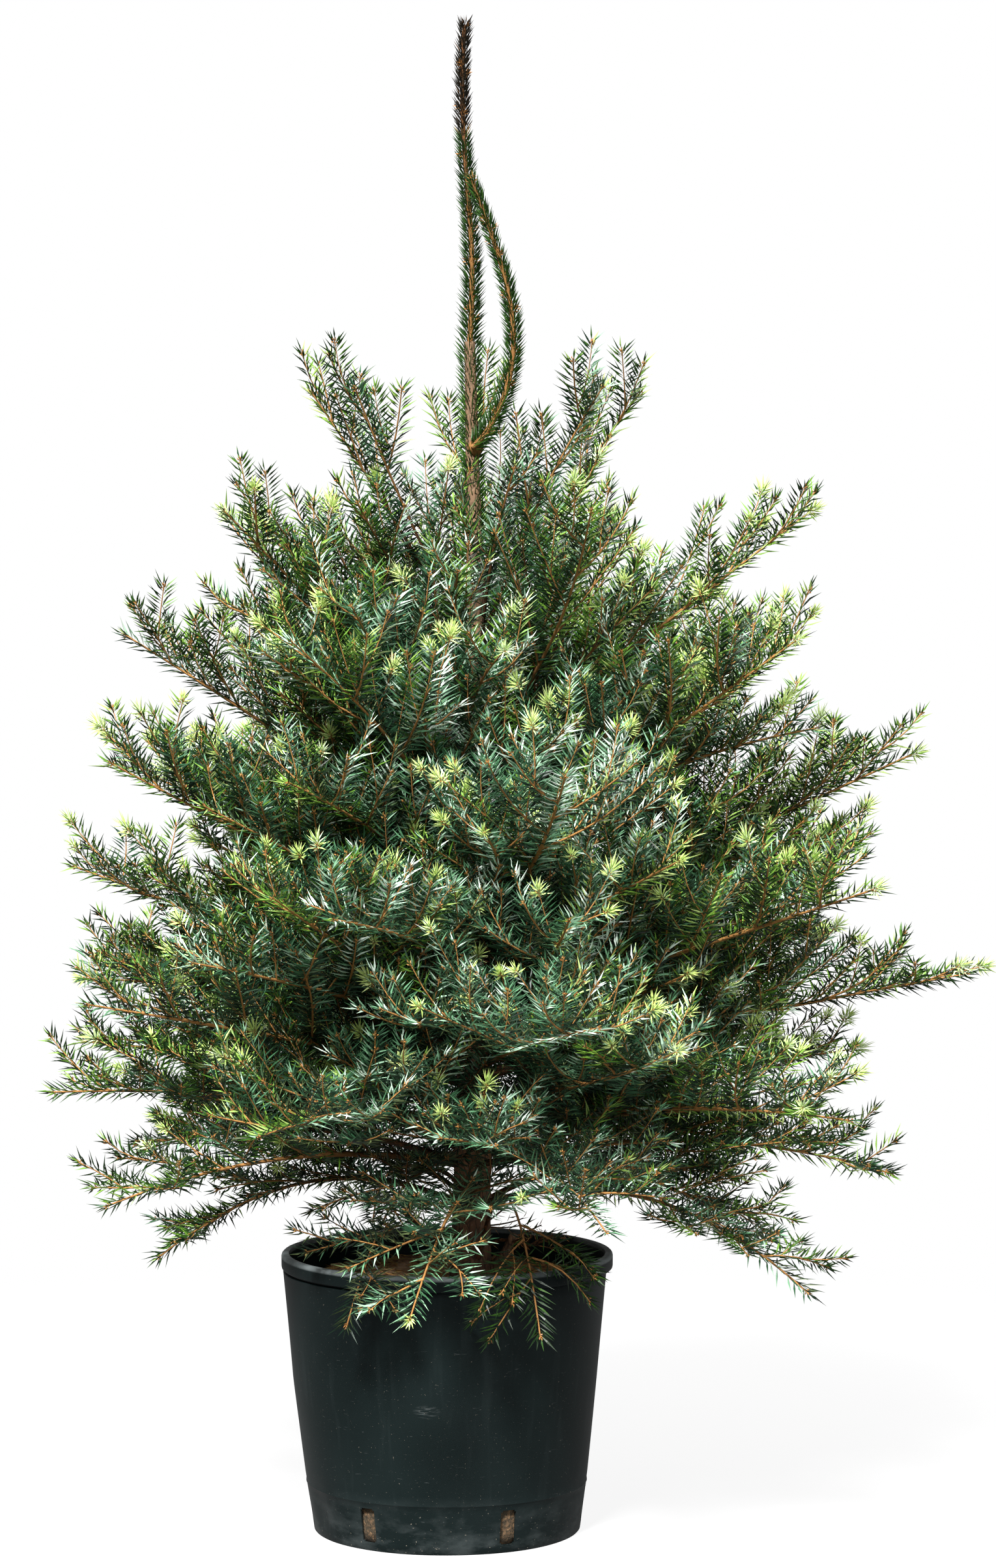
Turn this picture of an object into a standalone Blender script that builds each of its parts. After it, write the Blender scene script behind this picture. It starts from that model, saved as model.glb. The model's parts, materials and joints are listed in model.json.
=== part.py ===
"""A potted spruce: a nursery pot, its soil with bark chips on it, and a young spruce growing in it.

Metres, +Z up, +X right, -Y front. The origin is on the pot's axis, on the surface that the pot stands on.
Every branch is one closed solid: a limb and its side shoots, as thick as the sleeve of needles round the
wood. The crown grows limb by limb, and each shoot keeps clear of what has grown before it.
"""

import itertools
import math
import random

import bmesh
import bpy
import numpy as np

# Pot
POT_HEIGHT = 0.330
POT_FOOT_RADIUS = 0.158
POT_SHOULDER_RADIUS = 0.165
POT_SHOULDER_HEIGHT = 0.058
POT_NECK_RADIUS = 0.189
POT_WALL = 0.0026
RIM_OVERHANG = 0.011
RIM_LIP_HEIGHT = 0.018
FOOT_RING_WIDTH = 0.024
FOOT_RING_HEIGHT = 0.005
SLOT_COUNT = 6
SLOT_WIDTH = 0.019
SLOT_HEIGHT = 0.041
SLOT_SILL = 0.010
SLOT_TURN = math.radians(-123.8)
BASE_HOLE_COUNT = 6
BASE_HOLE_RADIUS = 0.009
BASE_HOLE_CIRCLE = 0.075
ROUND_STEPS = 36

# Soil
SOIL_BELOW_RIM = 0.035
GAP = 0.0005
CHIP_COUNT = 5
CHIP_SIZE = (0.030, 0.014, 0.004)
CHIP_CIRCLE = 0.085

# Trunk and leaders
TRUNK_OFFSET = 0.027
COLLAR_RADIUS = 0.024
COLLAR_DEPTH = 0.060
TRUNK_LENGTH = 1.105
TRUNK_TOP_RADIUS = 0.0065
TRUNK_BOW = 0.008
LEADER_LENGTH = 0.372
LEADER_RADIUS = 0.009
LEADER_TIP_RADIUS = 0.0045
LEADER_LEAN = 0.006
LEADER_WAVE = 0.004
SIDE_LEADER_DROP = 0.120
SIDE_LEADER_LENGTH = 0.310
SIDE_LEADER_BOW = 0.058
SIDE_LEADER_FORWARD = 0.015

# Tiers of branches, lowest first. As shares of the trunk's length: height of the tier above the soil, rise
# of a limb as it leaves the trunk, rise of its tip over the tier, and reach of its tip. Then the direction of
# the tier's first limb in degrees, and how far a side shoot bends upwards as a share of its own length.
TIERS = (
    (0.086, 0.063, -0.068, 0.362, 35.0, -0.10),
    (0.127, 0.050, -0.014, 0.443, 2.0, 0.00),
    (0.172, 0.045, 0.041, 0.480, 38.0, 0.06),
    (0.226, 0.054, 0.100, 0.520, 4.0, 0.12),
    (0.290, 0.077, 0.154, 0.480, 35.0, 0.18),
    (0.362, 0.100, 0.204, 0.452, 0.0, 0.22),
    (0.452, 0.127, 0.240, 0.389, 30.0, 0.26),
    (0.561, 0.136, 0.262, 0.321, 2.0, 0.30),
    (0.688, 0.145, 0.262, 0.186, 20.0, 0.34),
)
LIMBS_PER_TIER = 5
LEAN_RIGHT = 0.06
LIMB_SWAY = 0.030
LIMB_TURN = 9.0

# Branches that cross the rim and hang down outside it: name, height above the soil, rise of the tip over it,
# direction in degrees, bend of the side shoots, share that is bare wood, and number of side shoots.
DROOPING = (
    ("drooping_branch_left", 0.115, -0.130, 237.5, -0.10, 0.30, 5),
    ("drooping_branch_right", 0.030, -0.057, 289.6, -0.45, 0.62, 4),
)
BEYOND_RIM = 0.050
OVER_RIM = 0.012

# Dead twigs low on the trunk: height above the soil, rise of the tip, reach and direction in degrees.
TWIGS = (
    (0.045, 0.010, 0.120, 338.0),
    (0.055, 0.035, 0.105, 205.0),
    (0.050, 0.020, 0.115, 75.0),
)

# Needled sleeves
LIMB_BASE_RADIUS = 0.0050
LIMB_RADIUS = 0.0085
TWIG_RADIUS = 0.0030
SHOOT_BASE_RADIUS = 0.0060
SHOOT_RADIUS = 0.0075
SHOOT_TIP_RADIUS = 0.0045
SHOOT_PITCH = 0.058
MOST_SHOOTS = 8
LEAST_SHOOTS = 4
BARE_SHARE = 0.20
SHOOT_START = 0.06
LAST_SHOOT = 0.86
SHOOT_SHARE = 0.42
SHOOT_LEAST = 0.055
SHOOT_SHRINK = (1.0, 0.82, 0.66, 0.5)

# Room that grown shoots keep
SAMPLE_STEP = 0.008
OWN_CLEARANCE = 0.032
ROOM = 0.001
LIMB_TURNS = (0, 4, -4, 8, -8, 12, -12, 16, -16, 20, -20, 25, -25, 30, -30)
LIMB_SHRINK = (1.0, 0.94, 0.88, 0.82, 0.76, 0.7)
TUBE_RESOLUTION = 0
TRUNK_RESOLUTION = 2

BARK = (0.30, 0.19, 0.10, 1.0)
NEEDLES = (0.07, 0.17, 0.10, 1.0)
PLASTIC = (0.012, 0.016, 0.018, 1.0)
EARTH = (0.10, 0.06, 0.035, 1.0)
CHIP = (0.36, 0.22, 0.12, 1.0)

UP = np.array([0.0, 0.0, 1.0])
RIGHT = np.array([1.0, 0.0, 0.0])
FRONT = np.array([0.0, -1.0, 0.0])
SOIL_TOP = POT_HEIGHT - SOIL_BELOW_RIM
RIM_RADIUS = POT_NECK_RADIUS + RIM_OVERHANG


def clear_scene():
    for obj in list(bpy.data.objects):
        bpy.data.objects.remove(obj)


def collection(name):
    made = bpy.data.collections.new(name)
    bpy.context.scene.collection.children.link(made)
    return made


def material(name, colour, roughness):
    made = bpy.data.materials.new(name)
    made.use_nodes = True
    shader = made.node_tree.nodes["Principled BSDF"]
    shader.inputs["Base Color"].default_value = colour
    shader.inputs["Roughness"].default_value = roughness
    shader.inputs["Metallic"].default_value = 0.0
    return made


def add(name, data, finish, group):
    obj = bpy.data.objects.new(name, data)
    data.materials.append(finish)
    group.objects.link(obj)
    return obj


# ---------------------------------------------------------------- pot and soil


def turned(name, profile, finish, group, steps=ROUND_STEPS):
    """A surface of revolution about +Z from (radius, height) points."""
    mesh = bpy.data.meshes.new(name)
    points = [(radius, 0.0, height) for radius, height in profile]
    mesh.from_pydata(points, [(i, i + 1) for i in range(len(points) - 1)], [])
    obj = add(name, mesh, finish, group)
    screw = obj.modifiers.new("turn", "SCREW")
    screw.axis = "Z"
    screw.steps = screw.render_steps = steps
    screw.use_merge_vertices = True
    screw.merge_threshold = 0.00005
    screw.use_smooth_shade = True
    return obj


def wall_radius(height):
    """The pot's outer radius at a height: steep in the foot band, then a steady taper up to the neck."""
    if height < POT_SHOULDER_HEIGHT:
        share = height / POT_SHOULDER_HEIGHT
        return POT_FOOT_RADIUS + (POT_SHOULDER_RADIUS - POT_FOOT_RADIUS) * share
    share = (height - POT_SHOULDER_HEIGHT) / (POT_HEIGHT - POT_SHOULDER_HEIGHT)
    return POT_SHOULDER_RADIUS + (POT_NECK_RADIUS - POT_SHOULDER_RADIUS) * share


def cut(obj, cutter):
    cutter.hide_render = True
    cutter.display_type = "WIRE"
    hole = obj.modifiers.new(cutter.name, "BOOLEAN")
    hole.operation = "DIFFERENCE"
    hole.solver = "EXACT"
    hole.object = cutter


def box_cutter(name, size, place, turn, group):
    shape = bmesh.new()
    bmesh.ops.create_cube(shape, size=1.0)
    bmesh.ops.scale(shape, vec=size, verts=shape.verts)
    mesh = bpy.data.meshes.new(name)
    shape.to_mesh(mesh)
    shape.free()
    obj = bpy.data.objects.new(name, mesh)
    obj.location = place
    obj.rotation_euler = (0.0, 0.0, turn)
    group.objects.link(obj)
    return obj


def round_cutter(name, radius, depth, place, group):
    shape = bmesh.new()
    bmesh.ops.create_cone(shape, cap_ends=True, segments=16, radius1=radius, radius2=radius, depth=depth)
    mesh = bpy.data.meshes.new(name)
    shape.to_mesh(mesh)
    shape.free()
    obj = bpy.data.objects.new(name, mesh)
    obj.location = place
    group.objects.link(obj)
    return obj


def make_pot(finish, group, cutters):
    """A thin shell whose top edge folds out and down into the rim, on a ring-shaped foot.

    The profile is the sheet's lower side from the lip to the fold, and its outer side below that.
    """
    foot_inner = POT_FOOT_RADIUS - FOOT_RING_WIDTH
    lip = RIM_RADIUS - POT_WALL
    fold = POT_HEIGHT - POT_WALL
    profile = [
        (lip, POT_HEIGHT - RIM_LIP_HEIGHT),
        (lip, fold - 0.003),
        (lip - 0.003, fold),
        (POT_NECK_RADIUS + 0.001, fold),
        (POT_NECK_RADIUS - 0.0005, fold - 0.002),
        (wall_radius(POT_HEIGHT - RIM_LIP_HEIGHT), POT_HEIGHT - RIM_LIP_HEIGHT),
        (POT_SHOULDER_RADIUS, POT_SHOULDER_HEIGHT),
        (POT_FOOT_RADIUS, 0.003),
        (POT_FOOT_RADIUS - 0.003, 0.0),
        (foot_inner, 0.0),
        (foot_inner - FOOT_RING_HEIGHT, FOOT_RING_HEIGHT),
        (0.0, FOOT_RING_HEIGHT),
    ]
    pot = turned("nursery_pot", profile, finish, group)
    shell = pot.modifiers.new("wall", "SOLIDIFY")
    shell.thickness = POT_WALL
    shell.offset = -1.0
    for index in range(SLOT_COUNT):
        turn = SLOT_TURN + index * math.tau / SLOT_COUNT
        middle = SLOT_SILL + SLOT_HEIGHT / 2
        reach = wall_radius(middle)
        place = (reach * math.cos(turn), reach * math.sin(turn), middle)
        size = (8 * POT_WALL, SLOT_WIDTH, SLOT_HEIGHT)
        cut(pot, box_cutter(f"slot_cutter_{index}", size, place, turn, cutters))
    for index in range(BASE_HOLE_COUNT):
        turn = index * math.tau / BASE_HOLE_COUNT
        place = (BASE_HOLE_CIRCLE * math.cos(turn), BASE_HOLE_CIRCLE * math.sin(turn), FOOT_RING_HEIGHT)
        hole = round_cutter(f"base_hole_cutter_{index}", BASE_HOLE_RADIUS, 8 * POT_WALL, place, cutters)
        cut(pot, hole)
    return pot


def make_soil(finish, group, cutters):
    """The root ball: it fills the pot up to the soil line, with a socket for the trunk's collar."""
    floor = FOOT_RING_HEIGHT + POT_WALL + GAP
    inset = POT_WALL * 1.02 + GAP
    profile = [
        (0.0, SOIL_TOP),
        (wall_radius(SOIL_TOP) - inset - 0.006, SOIL_TOP),
        (wall_radius(SOIL_TOP - 0.006) - inset, SOIL_TOP - 0.006),
        (POT_SHOULDER_RADIUS - inset, POT_SHOULDER_HEIGHT),
        (wall_radius(floor) - inset, floor),
        (0.0, floor),
    ]
    soil = turned("soil", profile, finish, group)
    place = (TRUNK_OFFSET, 0.0, SOIL_TOP)
    cut(soil, round_cutter("collar_cutter", COLLAR_RADIUS + 2 * GAP, 2 * COLLAR_DEPTH, place, cutters))
    return soil


def make_chips(finish, group):
    """Bark chips that lie on the soil in a loose ring round the trunk."""
    dice = random.Random(4)
    for index in range(CHIP_COUNT):
        turn = index * math.tau / CHIP_COUNT + dice.uniform(-0.3, 0.3)
        reach = CHIP_CIRCLE + dice.uniform(-0.012, 0.030)
        name = f"bark_chip_{index + 1}"
        shape = bmesh.new()
        bmesh.ops.create_cube(shape, size=1.0)
        bmesh.ops.scale(shape, vec=CHIP_SIZE, verts=shape.verts)
        mesh = bpy.data.meshes.new(name)
        shape.to_mesh(mesh)
        shape.free()
        chip = add(name, mesh, finish, group)
        rounded = chip.modifiers.new("worn_edges", "BEVEL")
        rounded.width = CHIP_SIZE[2] / 4
        rounded.segments = 1
        height = SOIL_TOP + GAP + CHIP_SIZE[2] / 2
        chip.location = (TRUNK_OFFSET + reach * math.cos(turn), reach * math.sin(turn), height)
        chip.rotation_euler = (0.0, 0.0, dice.uniform(0.0, math.pi))


# ---------------------------------------------------------------- how the spruce grows


def trunk_centre(height):
    """A point on the trunk's centre line, at a height above the soil."""
    share = max(0.0, height) / TRUNK_LENGTH
    return np.array([TRUNK_OFFSET + TRUNK_BOW * math.sin(math.pi * share), 0.0, SOIL_TOP + height])


def trunk_radius(height):
    """The trunk's radius: the collar's at the soil, a quick taper above it, then a slow one."""
    share = min(1.0, max(0.0, height) / TRUNK_LENGTH)
    return TRUNK_TOP_RADIUS + (COLLAR_RADIUS - TRUNK_TOP_RADIUS) * (1.0 - share) ** 1.15


def resampled(path, radii):
    """Points a step apart along the path's straight runs, each with its radius as a fourth number."""
    nodes = np.column_stack([path, radii])
    rows = [nodes[:1]]
    for start, end in zip(nodes[:-1], nodes[1:]):
        count = max(1, math.ceil(np.linalg.norm((end - start)[:3]) / SAMPLE_STEP))
        rows.append(start + (end - start) * (np.arange(1, count + 1) / count)[:, None])
    return np.concatenate(rows)


def separation(first, second):
    """The least room between two sets of samples, with each sample a ball of its own radius."""
    if not len(first) or not len(second):
        return math.inf
    apart = np.linalg.norm(first[:, None, :3] - second[None, :, :3], axis=2)
    return (apart - first[:, None, 3] - second[None, :, 3]).min()


class Crown:
    """The space that grown shoots take, as samples with an owner, so that no two branches meet."""

    def __init__(self):
        self.samples = np.zeros((0, 4))
        self.owner = np.zeros(0, object)

    def free(self, path, radii, owner):
        probe = resampled(path, radii)
        if not self.clear_of_pot(probe) or not self.clear_of_trunk(probe):
            return False
        return self.clear_of_shoots(probe, owner)

    def clear_of_shoots(self, probe, owner):
        own = self.samples[self.owner == owner]
        others = self.samples[self.owner != owner]
        away = probe[np.linalg.norm((probe - probe[0])[:, :3], axis=1) > OWN_CLEARANCE]
        return separation(probe, others) > ROOM and separation(away, own) > ROOM

    def clear_of_pot(self, probe):
        radius = np.hypot(probe[:, 0], probe[:, 1])
        margin = probe[:, 3] + ROOM
        within_wall = radius < wall_radius(SOIL_TOP) - POT_WALL - margin
        over_chips = probe[:, 2] > SOIL_TOP + CHIP_SIZE[2] + margin
        outside = radius > RIM_RADIUS + margin
        above = probe[:, 2] > POT_HEIGHT + margin
        return bool((within_wall & over_chips | outside | above).all())

    def clear_of_trunk(self, probe):
        for x, y, z, sleeve in probe[2:]:
            centre = trunk_centre(z - SOIL_TOP)
            if math.hypot(x - centre[0], y - centre[1]) <= trunk_radius(z - SOIL_TOP) + sleeve:
                return False
        return True

    def take(self, path, radii, owner):
        probe = resampled(path, radii)
        self.samples = np.concatenate([self.samples, probe])
        self.owner = np.concatenate([self.owner, np.full(len(probe), owner, object)])


def limb_path(spec, azimuth, shares):
    """Points of a limb: it leaves the bark at its rise, bends to its tip's height and sways sideways."""
    lean = math.atan2(2.0 * spec["rise"], spec["reach"])
    skin = trunk_radius(spec["height"]) + GAP + LIMB_BASE_RADIUS * math.sin(abs(lean))
    out = np.array([math.cos(azimuth), math.sin(azimuth), 0.0])
    side = np.array([-out[1], out[0], 0.0])
    s = np.asarray(shares)[:, None]
    climb = spec["rise"] * 2.0 * s * (1.0 - s) + spec["tip"] * s**2
    across = spec["sway"] * np.sin(math.pi * 0.9 * s)
    run = skin + (spec["reach"] - skin) * s
    return trunk_centre(spec["height"]) + out * run + side * across + UP * climb


def shoot_path(base, heading, length, bend):
    """A side shoot: it sets off along its heading and bends up by a share of its length."""
    shares = np.linspace(0.0, 1.0, 3)[:, None]
    return base + heading * length * shares + UP * bend * length * shares**2


def over_the_rim(height, tip, direction):
    """Reach and rise of a limb that clears the rim on its way out and ends just beyond it."""
    out = np.array([math.cos(direction), math.sin(direction)])
    along = TRUNK_OFFSET * out[0]
    to_rim = math.sqrt(along**2 - TRUNK_OFFSET**2 + RIM_RADIUS**2) - along
    reach = to_rim + BEYOND_RIM
    share = (to_rim + LIMB_RADIUS + ROOM) / reach
    needed = SOIL_BELOW_RIM + OVER_RIM - height
    return reach, (needed - tip * share**2) / (2.0 * share * (1.0 - share))


def drooping_specs():
    for index, (name, height, tip, direction, bend, bare, shoots) in enumerate(DROOPING):
        reach, rise = over_the_rim(height, tip, math.radians(direction))
        yield dict(name=name, height=height, rise=rise, tip=tip, reach=reach, direction=direction, bend=bend,
                   bare=bare, shoots=shoots, sway=0.0, dice=random.Random(index))


def twig_specs():
    for index, (height, tip, reach, direction) in enumerate(TWIGS, start=1):
        yield dict(name=f"bare_twig_{index}", height=height, rise=tip / 2, tip=tip, reach=reach,
                   direction=direction, bend=0.0, bare=1.0, shoots=0, sway=0.0, dice=random.Random(index))


def tier_specs():
    for tier, (height, rise, tip, reach, first, bend) in enumerate(TIERS, start=1):
        for number in range(LIMBS_PER_TIER):
            dice = random.Random(100 * tier + number)
            direction = first + number * 360.0 / LIMBS_PER_TIER
            direction += dice.uniform(-LIMB_TURN, LIMB_TURN) * (number > 0)
            lean = LEAN_RIGHT * math.cos(math.radians(direction))
            own = reach * TRUNK_LENGTH * (1.0 + lean + dice.uniform(-0.07, 0.05))
            shoots = int(min(MOST_SHOOTS, max(LEAST_SHOOTS, own // SHOOT_PITCH)))
            sway = dice.uniform(-LIMB_SWAY, LIMB_SWAY)
            yield dict(name=f"tier_{tier}_branch_{number + 1}", height=height * TRUNK_LENGTH,
                       rise=rise * TRUNK_LENGTH, tip=tip * TRUNK_LENGTH, reach=own, direction=direction,
                       bend=bend, bare=BARE_SHARE, shoots=shoots, sway=sway, dice=dice)


def limb_stations(spec):
    """Where along the limb its side shoots start, as shares of its reach."""
    return np.linspace(spec["bare"] + SHOOT_START, LAST_SHOOT, spec["shoots"])


def limb_radii(spec, shares):
    """Bare wood by the trunk, then a full sleeve of needles, then a narrower tip."""
    radii = np.where(shares < spec["bare"], LIMB_BASE_RADIUS, LIMB_RADIUS)
    if not spec["shoots"]:
        radii = np.full(len(shares), TWIG_RADIUS)
    radii[-1] = min(radii[-1], SHOOT_TIP_RADIUS)
    return radii


def grow_limbs(crown):
    """Gives every limb its path. A limb turns aside, or ends nearer the trunk, until it has room."""
    limbs = []
    for spec in (*drooping_specs(), *twig_specs(), *tier_specs()):
        shares = np.unique([0.0, spec["bare"] / 2, *limb_stations(spec), 1.0])
        radii = limb_radii(spec, shares)
        for shrink, turn in itertools.product(LIMB_SHRINK, LIMB_TURNS):
            fitted = {**spec, "reach": spec["reach"] * shrink}
            path = limb_path(fitted, math.radians(spec["direction"] + turn), shares)
            if crown.free(path, radii, spec["name"]):
                break
        crown.take(path, radii, spec["name"])
        limbs.append({**spec, "path": path, "radii": radii, "shares": shares})
    return limbs


def shoot_heading(along, hand, dice):
    """The direction in which a side shoot sets off: forwards, out to one side and a little up."""
    side = np.cross(along, UP)
    side *= hand / np.linalg.norm(side)
    roll = math.radians(dice.uniform(2.0, 34.0))
    angle = math.radians(dice.uniform(42.0, 56.0))
    out = side * math.cos(roll) + UP * math.sin(roll)
    heading = along * math.cos(angle) + out * math.sin(angle)
    return heading / np.linalg.norm(heading)


def grow_shoots(limb, crown):
    """The side shoots of a limb, left and right in turn, each shortened or left out where it has no room."""
    path, shares, dice = limb["path"], limb["shares"], limb["dice"]
    radii = np.array([SHOOT_BASE_RADIUS, SHOOT_RADIUS, SHOOT_TIP_RADIUS])
    shoots = []
    for index, station in enumerate(limb_stations(limb)):
        at = int(np.argmin(abs(shares - station)))
        along = path[at + 1] - path[at - 1]
        heading = shoot_heading(along / np.linalg.norm(along), 1 if index % 2 else -1, dice)
        full = SHOOT_LEAST + SHOOT_SHARE * limb["reach"] * (1.0 - station) * dice.uniform(0.85, 1.15)
        for shrink in SHOOT_SHRINK:
            length = full * shrink
            shoot = shoot_path(path[at], heading, length, limb["bend"])
            if crown.free(shoot, radii, limb["name"]):
                crown.take(shoot[1:], radii[1:], limb["name"])
                shoots.append({"path": shoot, "radii": radii})
                break
    return shoots


def tube(name, path, radii, finish, group, resolution=TUBE_RESOLUTION):
    """A closed tapering tube along a path, with 4 sides and 2 more for each step of resolution."""
    curve = bpy.data.curves.new(name, "CURVE")
    curve.dimensions = "3D"
    curve.bevel_depth = 1.0
    curve.bevel_resolution = resolution
    curve.use_fill_caps = True
    spline = curve.splines.new("POLY")
    spline.points.add(len(path) - 1)
    for point, place, radius in zip(spline.points, path, radii):
        point.co = (*place, 1.0)
        point.radius = radius
    drawn = bpy.data.objects.new(name, curve)
    group.objects.link(drawn)
    mesh = bpy.data.meshes.new_from_object(drawn.evaluated_get(bpy.context.evaluated_depsgraph_get()))
    bpy.data.objects.remove(drawn)
    bpy.data.curves.remove(curve)
    shape = bmesh.new()
    shape.from_mesh(mesh)
    bmesh.ops.remove_doubles(shape, verts=shape.verts, dist=0.00001)
    shape.to_mesh(mesh)
    shape.free()
    mesh.name = name
    mesh.materials.clear()
    return add(name, mesh, finish, group)


def make_branch(limb, shoots, finish, group, cutters):
    """One solid: the limb's tube joined with its side shoots' tubes."""
    branch = tube(limb["name"], limb["path"], limb["radii"], finish, group)
    for index, shoot in enumerate(shoots):
        side = tube(f"{limb['name']}_shoot_{index + 1}", shoot["path"], shoot["radii"], finish, cutters)
        side.hide_render = True
        side.display_type = "WIRE"
        join = branch.modifiers.new(side.name, "BOOLEAN")
        join.operation = "UNION"
        join.solver = "EXACT"
        join.object = side
    return branch


def make_trunk(finish, group):
    """The trunk, from its foot down in the soil's socket to the top, where the leader starts."""
    heights = np.array([-COLLAR_DEPTH, 0.0, 0.02, 0.06, *np.linspace(0.15, TRUNK_LENGTH, 9)])
    path = np.array([trunk_centre(height) for height in heights])
    radii = [trunk_radius(height) for height in heights]
    return tube("trunk", path, radii, finish, group, TRUNK_RESOLUTION)


def leader_path(shares):
    """The leader stands on the trunk's top and sways a little on its way up."""
    s = np.asarray(shares)[:, None]
    sway = RIGHT * (LEADER_WAVE * np.sin(2 * math.pi * s) - LEADER_LEAN * s)
    return trunk_centre(TRUNK_LENGTH) + sway + UP * (GAP + LEADER_LENGTH * s)


def side_leader_path(shares):
    """The side leader starts on the trunk's front, bows out to the right and ends in front of the leader."""
    s = np.asarray(shares)[:, None]
    start = TRUNK_LENGTH - SIDE_LEADER_DROP
    front = trunk_radius(start) + LEADER_RADIUS + GAP
    bow = RIGHT * SIDE_LEADER_BOW * np.sin(math.pi * s**0.8)
    forward = FRONT * (front + SIDE_LEADER_FORWARD * s)
    return trunk_centre(start) + bow + forward + UP * SIDE_LEADER_LENGTH * s


def make_leaders(finish, group, crown):
    """The two upright shoots at the top. They take their room before any branch grows."""
    shares = np.linspace(0.0, 1.0, 9)
    radii = np.where((shares > 0.0) & (shares < 1.0), LEADER_RADIUS, LEADER_TIP_RADIUS)
    for name, place in (("leader", leader_path), ("side_leader", side_leader_path)):
        tube(name, place(shares), radii, finish, group, TRUNK_RESOLUTION)
        crown.take(place(shares), radii, name)


def main():
    clear_scene()
    spruce = collection("potted_spruce")
    cutters = collection("cutters")
    bark = material("bark", BARK, 0.85)
    needles = material("needles", NEEDLES, 0.6)
    plastic = material("black_plastic", PLASTIC, 0.45)
    earth = material("soil", EARTH, 0.95)
    chip = material("bark_chips", CHIP, 0.9)
    make_pot(plastic, spruce, cutters)
    make_soil(earth, spruce, cutters)
    make_chips(chip, spruce)
    make_trunk(bark, spruce)
    crown = Crown()
    make_leaders(needles, spruce, crown)
    for limb in grow_limbs(crown):
        finish = needles if limb["shoots"] else bark
        make_branch(limb, grow_shoots(limb, crown), finish, spruce, cutters)


main()
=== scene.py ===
import itertools
import json
import math
import random

import bmesh
import bpy
import numpy as np
from mathutils import Matrix, Vector, noise

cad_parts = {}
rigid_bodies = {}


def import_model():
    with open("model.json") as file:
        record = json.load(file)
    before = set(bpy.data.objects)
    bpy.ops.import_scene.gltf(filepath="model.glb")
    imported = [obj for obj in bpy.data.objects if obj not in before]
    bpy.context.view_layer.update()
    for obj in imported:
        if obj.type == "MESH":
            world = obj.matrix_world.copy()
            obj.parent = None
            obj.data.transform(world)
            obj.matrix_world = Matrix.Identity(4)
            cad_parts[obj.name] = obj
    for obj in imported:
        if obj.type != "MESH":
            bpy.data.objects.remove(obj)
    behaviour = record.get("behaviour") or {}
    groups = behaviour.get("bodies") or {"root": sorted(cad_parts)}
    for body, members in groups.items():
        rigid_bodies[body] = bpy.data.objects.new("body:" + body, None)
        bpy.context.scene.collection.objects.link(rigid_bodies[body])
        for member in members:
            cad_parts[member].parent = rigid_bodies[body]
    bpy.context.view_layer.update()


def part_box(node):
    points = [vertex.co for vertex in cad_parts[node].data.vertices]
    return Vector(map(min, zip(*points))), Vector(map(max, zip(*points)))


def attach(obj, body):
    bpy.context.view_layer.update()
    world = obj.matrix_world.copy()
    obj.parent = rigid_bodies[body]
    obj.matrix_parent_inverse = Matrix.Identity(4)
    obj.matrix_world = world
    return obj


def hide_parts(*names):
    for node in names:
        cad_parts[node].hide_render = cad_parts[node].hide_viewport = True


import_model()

# ---------------------------------------------------------------- sizes of the fixed model

UP = np.array([0.0, 0.0, 1.0])
RIGHT = np.array([1.0, 0.0, 0.0])
FRONT = np.array([0.0, -1.0, 0.0])

POT_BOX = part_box("nursery_pot")
POT_HEIGHT = POT_BOX[1][2]
RIM_RADIUS = POT_BOX[1][0]
SOIL_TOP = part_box("soil")[1][2]
SOIL_BELOW_RIM = POT_HEIGHT - SOIL_TOP
FOOT_RING_HEIGHT = 0.005
FOOT_RING_WIDTH = 0.024
POT_FOOT_RADIUS = 0.158
POT_SHOULDER_RADIUS = 0.165
POT_SHOULDER_HEIGHT = 0.058
POT_NECK_RADIUS = 0.189
POT_WALL = 0.0026
RIM_LIP_HEIGHT = 0.018
SLOT_COUNT = 6
SLOT_WIDTH = 0.019
SLOT_HEIGHT = 0.041
SLOT_SILL = 0.010
SLOT_TURN = math.radians(-123.8)
SLOT_CORNER = 0.002
CUTTER_DEPTH = 0.03
BASE_HOLE_COUNT = 6
BASE_HOLE_RADIUS = 0.009
BASE_HOLE_CIRCLE = 0.075
GAP = 0.0005
CHIP_COUNT = 5
CHIP_THICKNESS = 0.004

TRUNK_OFFSET = 0.027
COLLAR_RADIUS = 0.024
COLLAR_DEPTH = 0.060
TRUNK_TOP_RADIUS = 0.0065
TRUNK_BOW = 0.008
TRUNK_LENGTH = 1.105
LEADER_LENGTH = 0.372
LEADER_RADIUS = 0.009
LEADER_TIP_RADIUS = 0.0045
LEADER_LEAN = 0.006
LEADER_WAVE = 0.004
SIDE_LEADER_DROP = 0.120
SIDE_LEADER_LENGTH = 0.310
SIDE_LEADER_BOW = 0.058
SIDE_LEADER_FORWARD = 0.015

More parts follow.
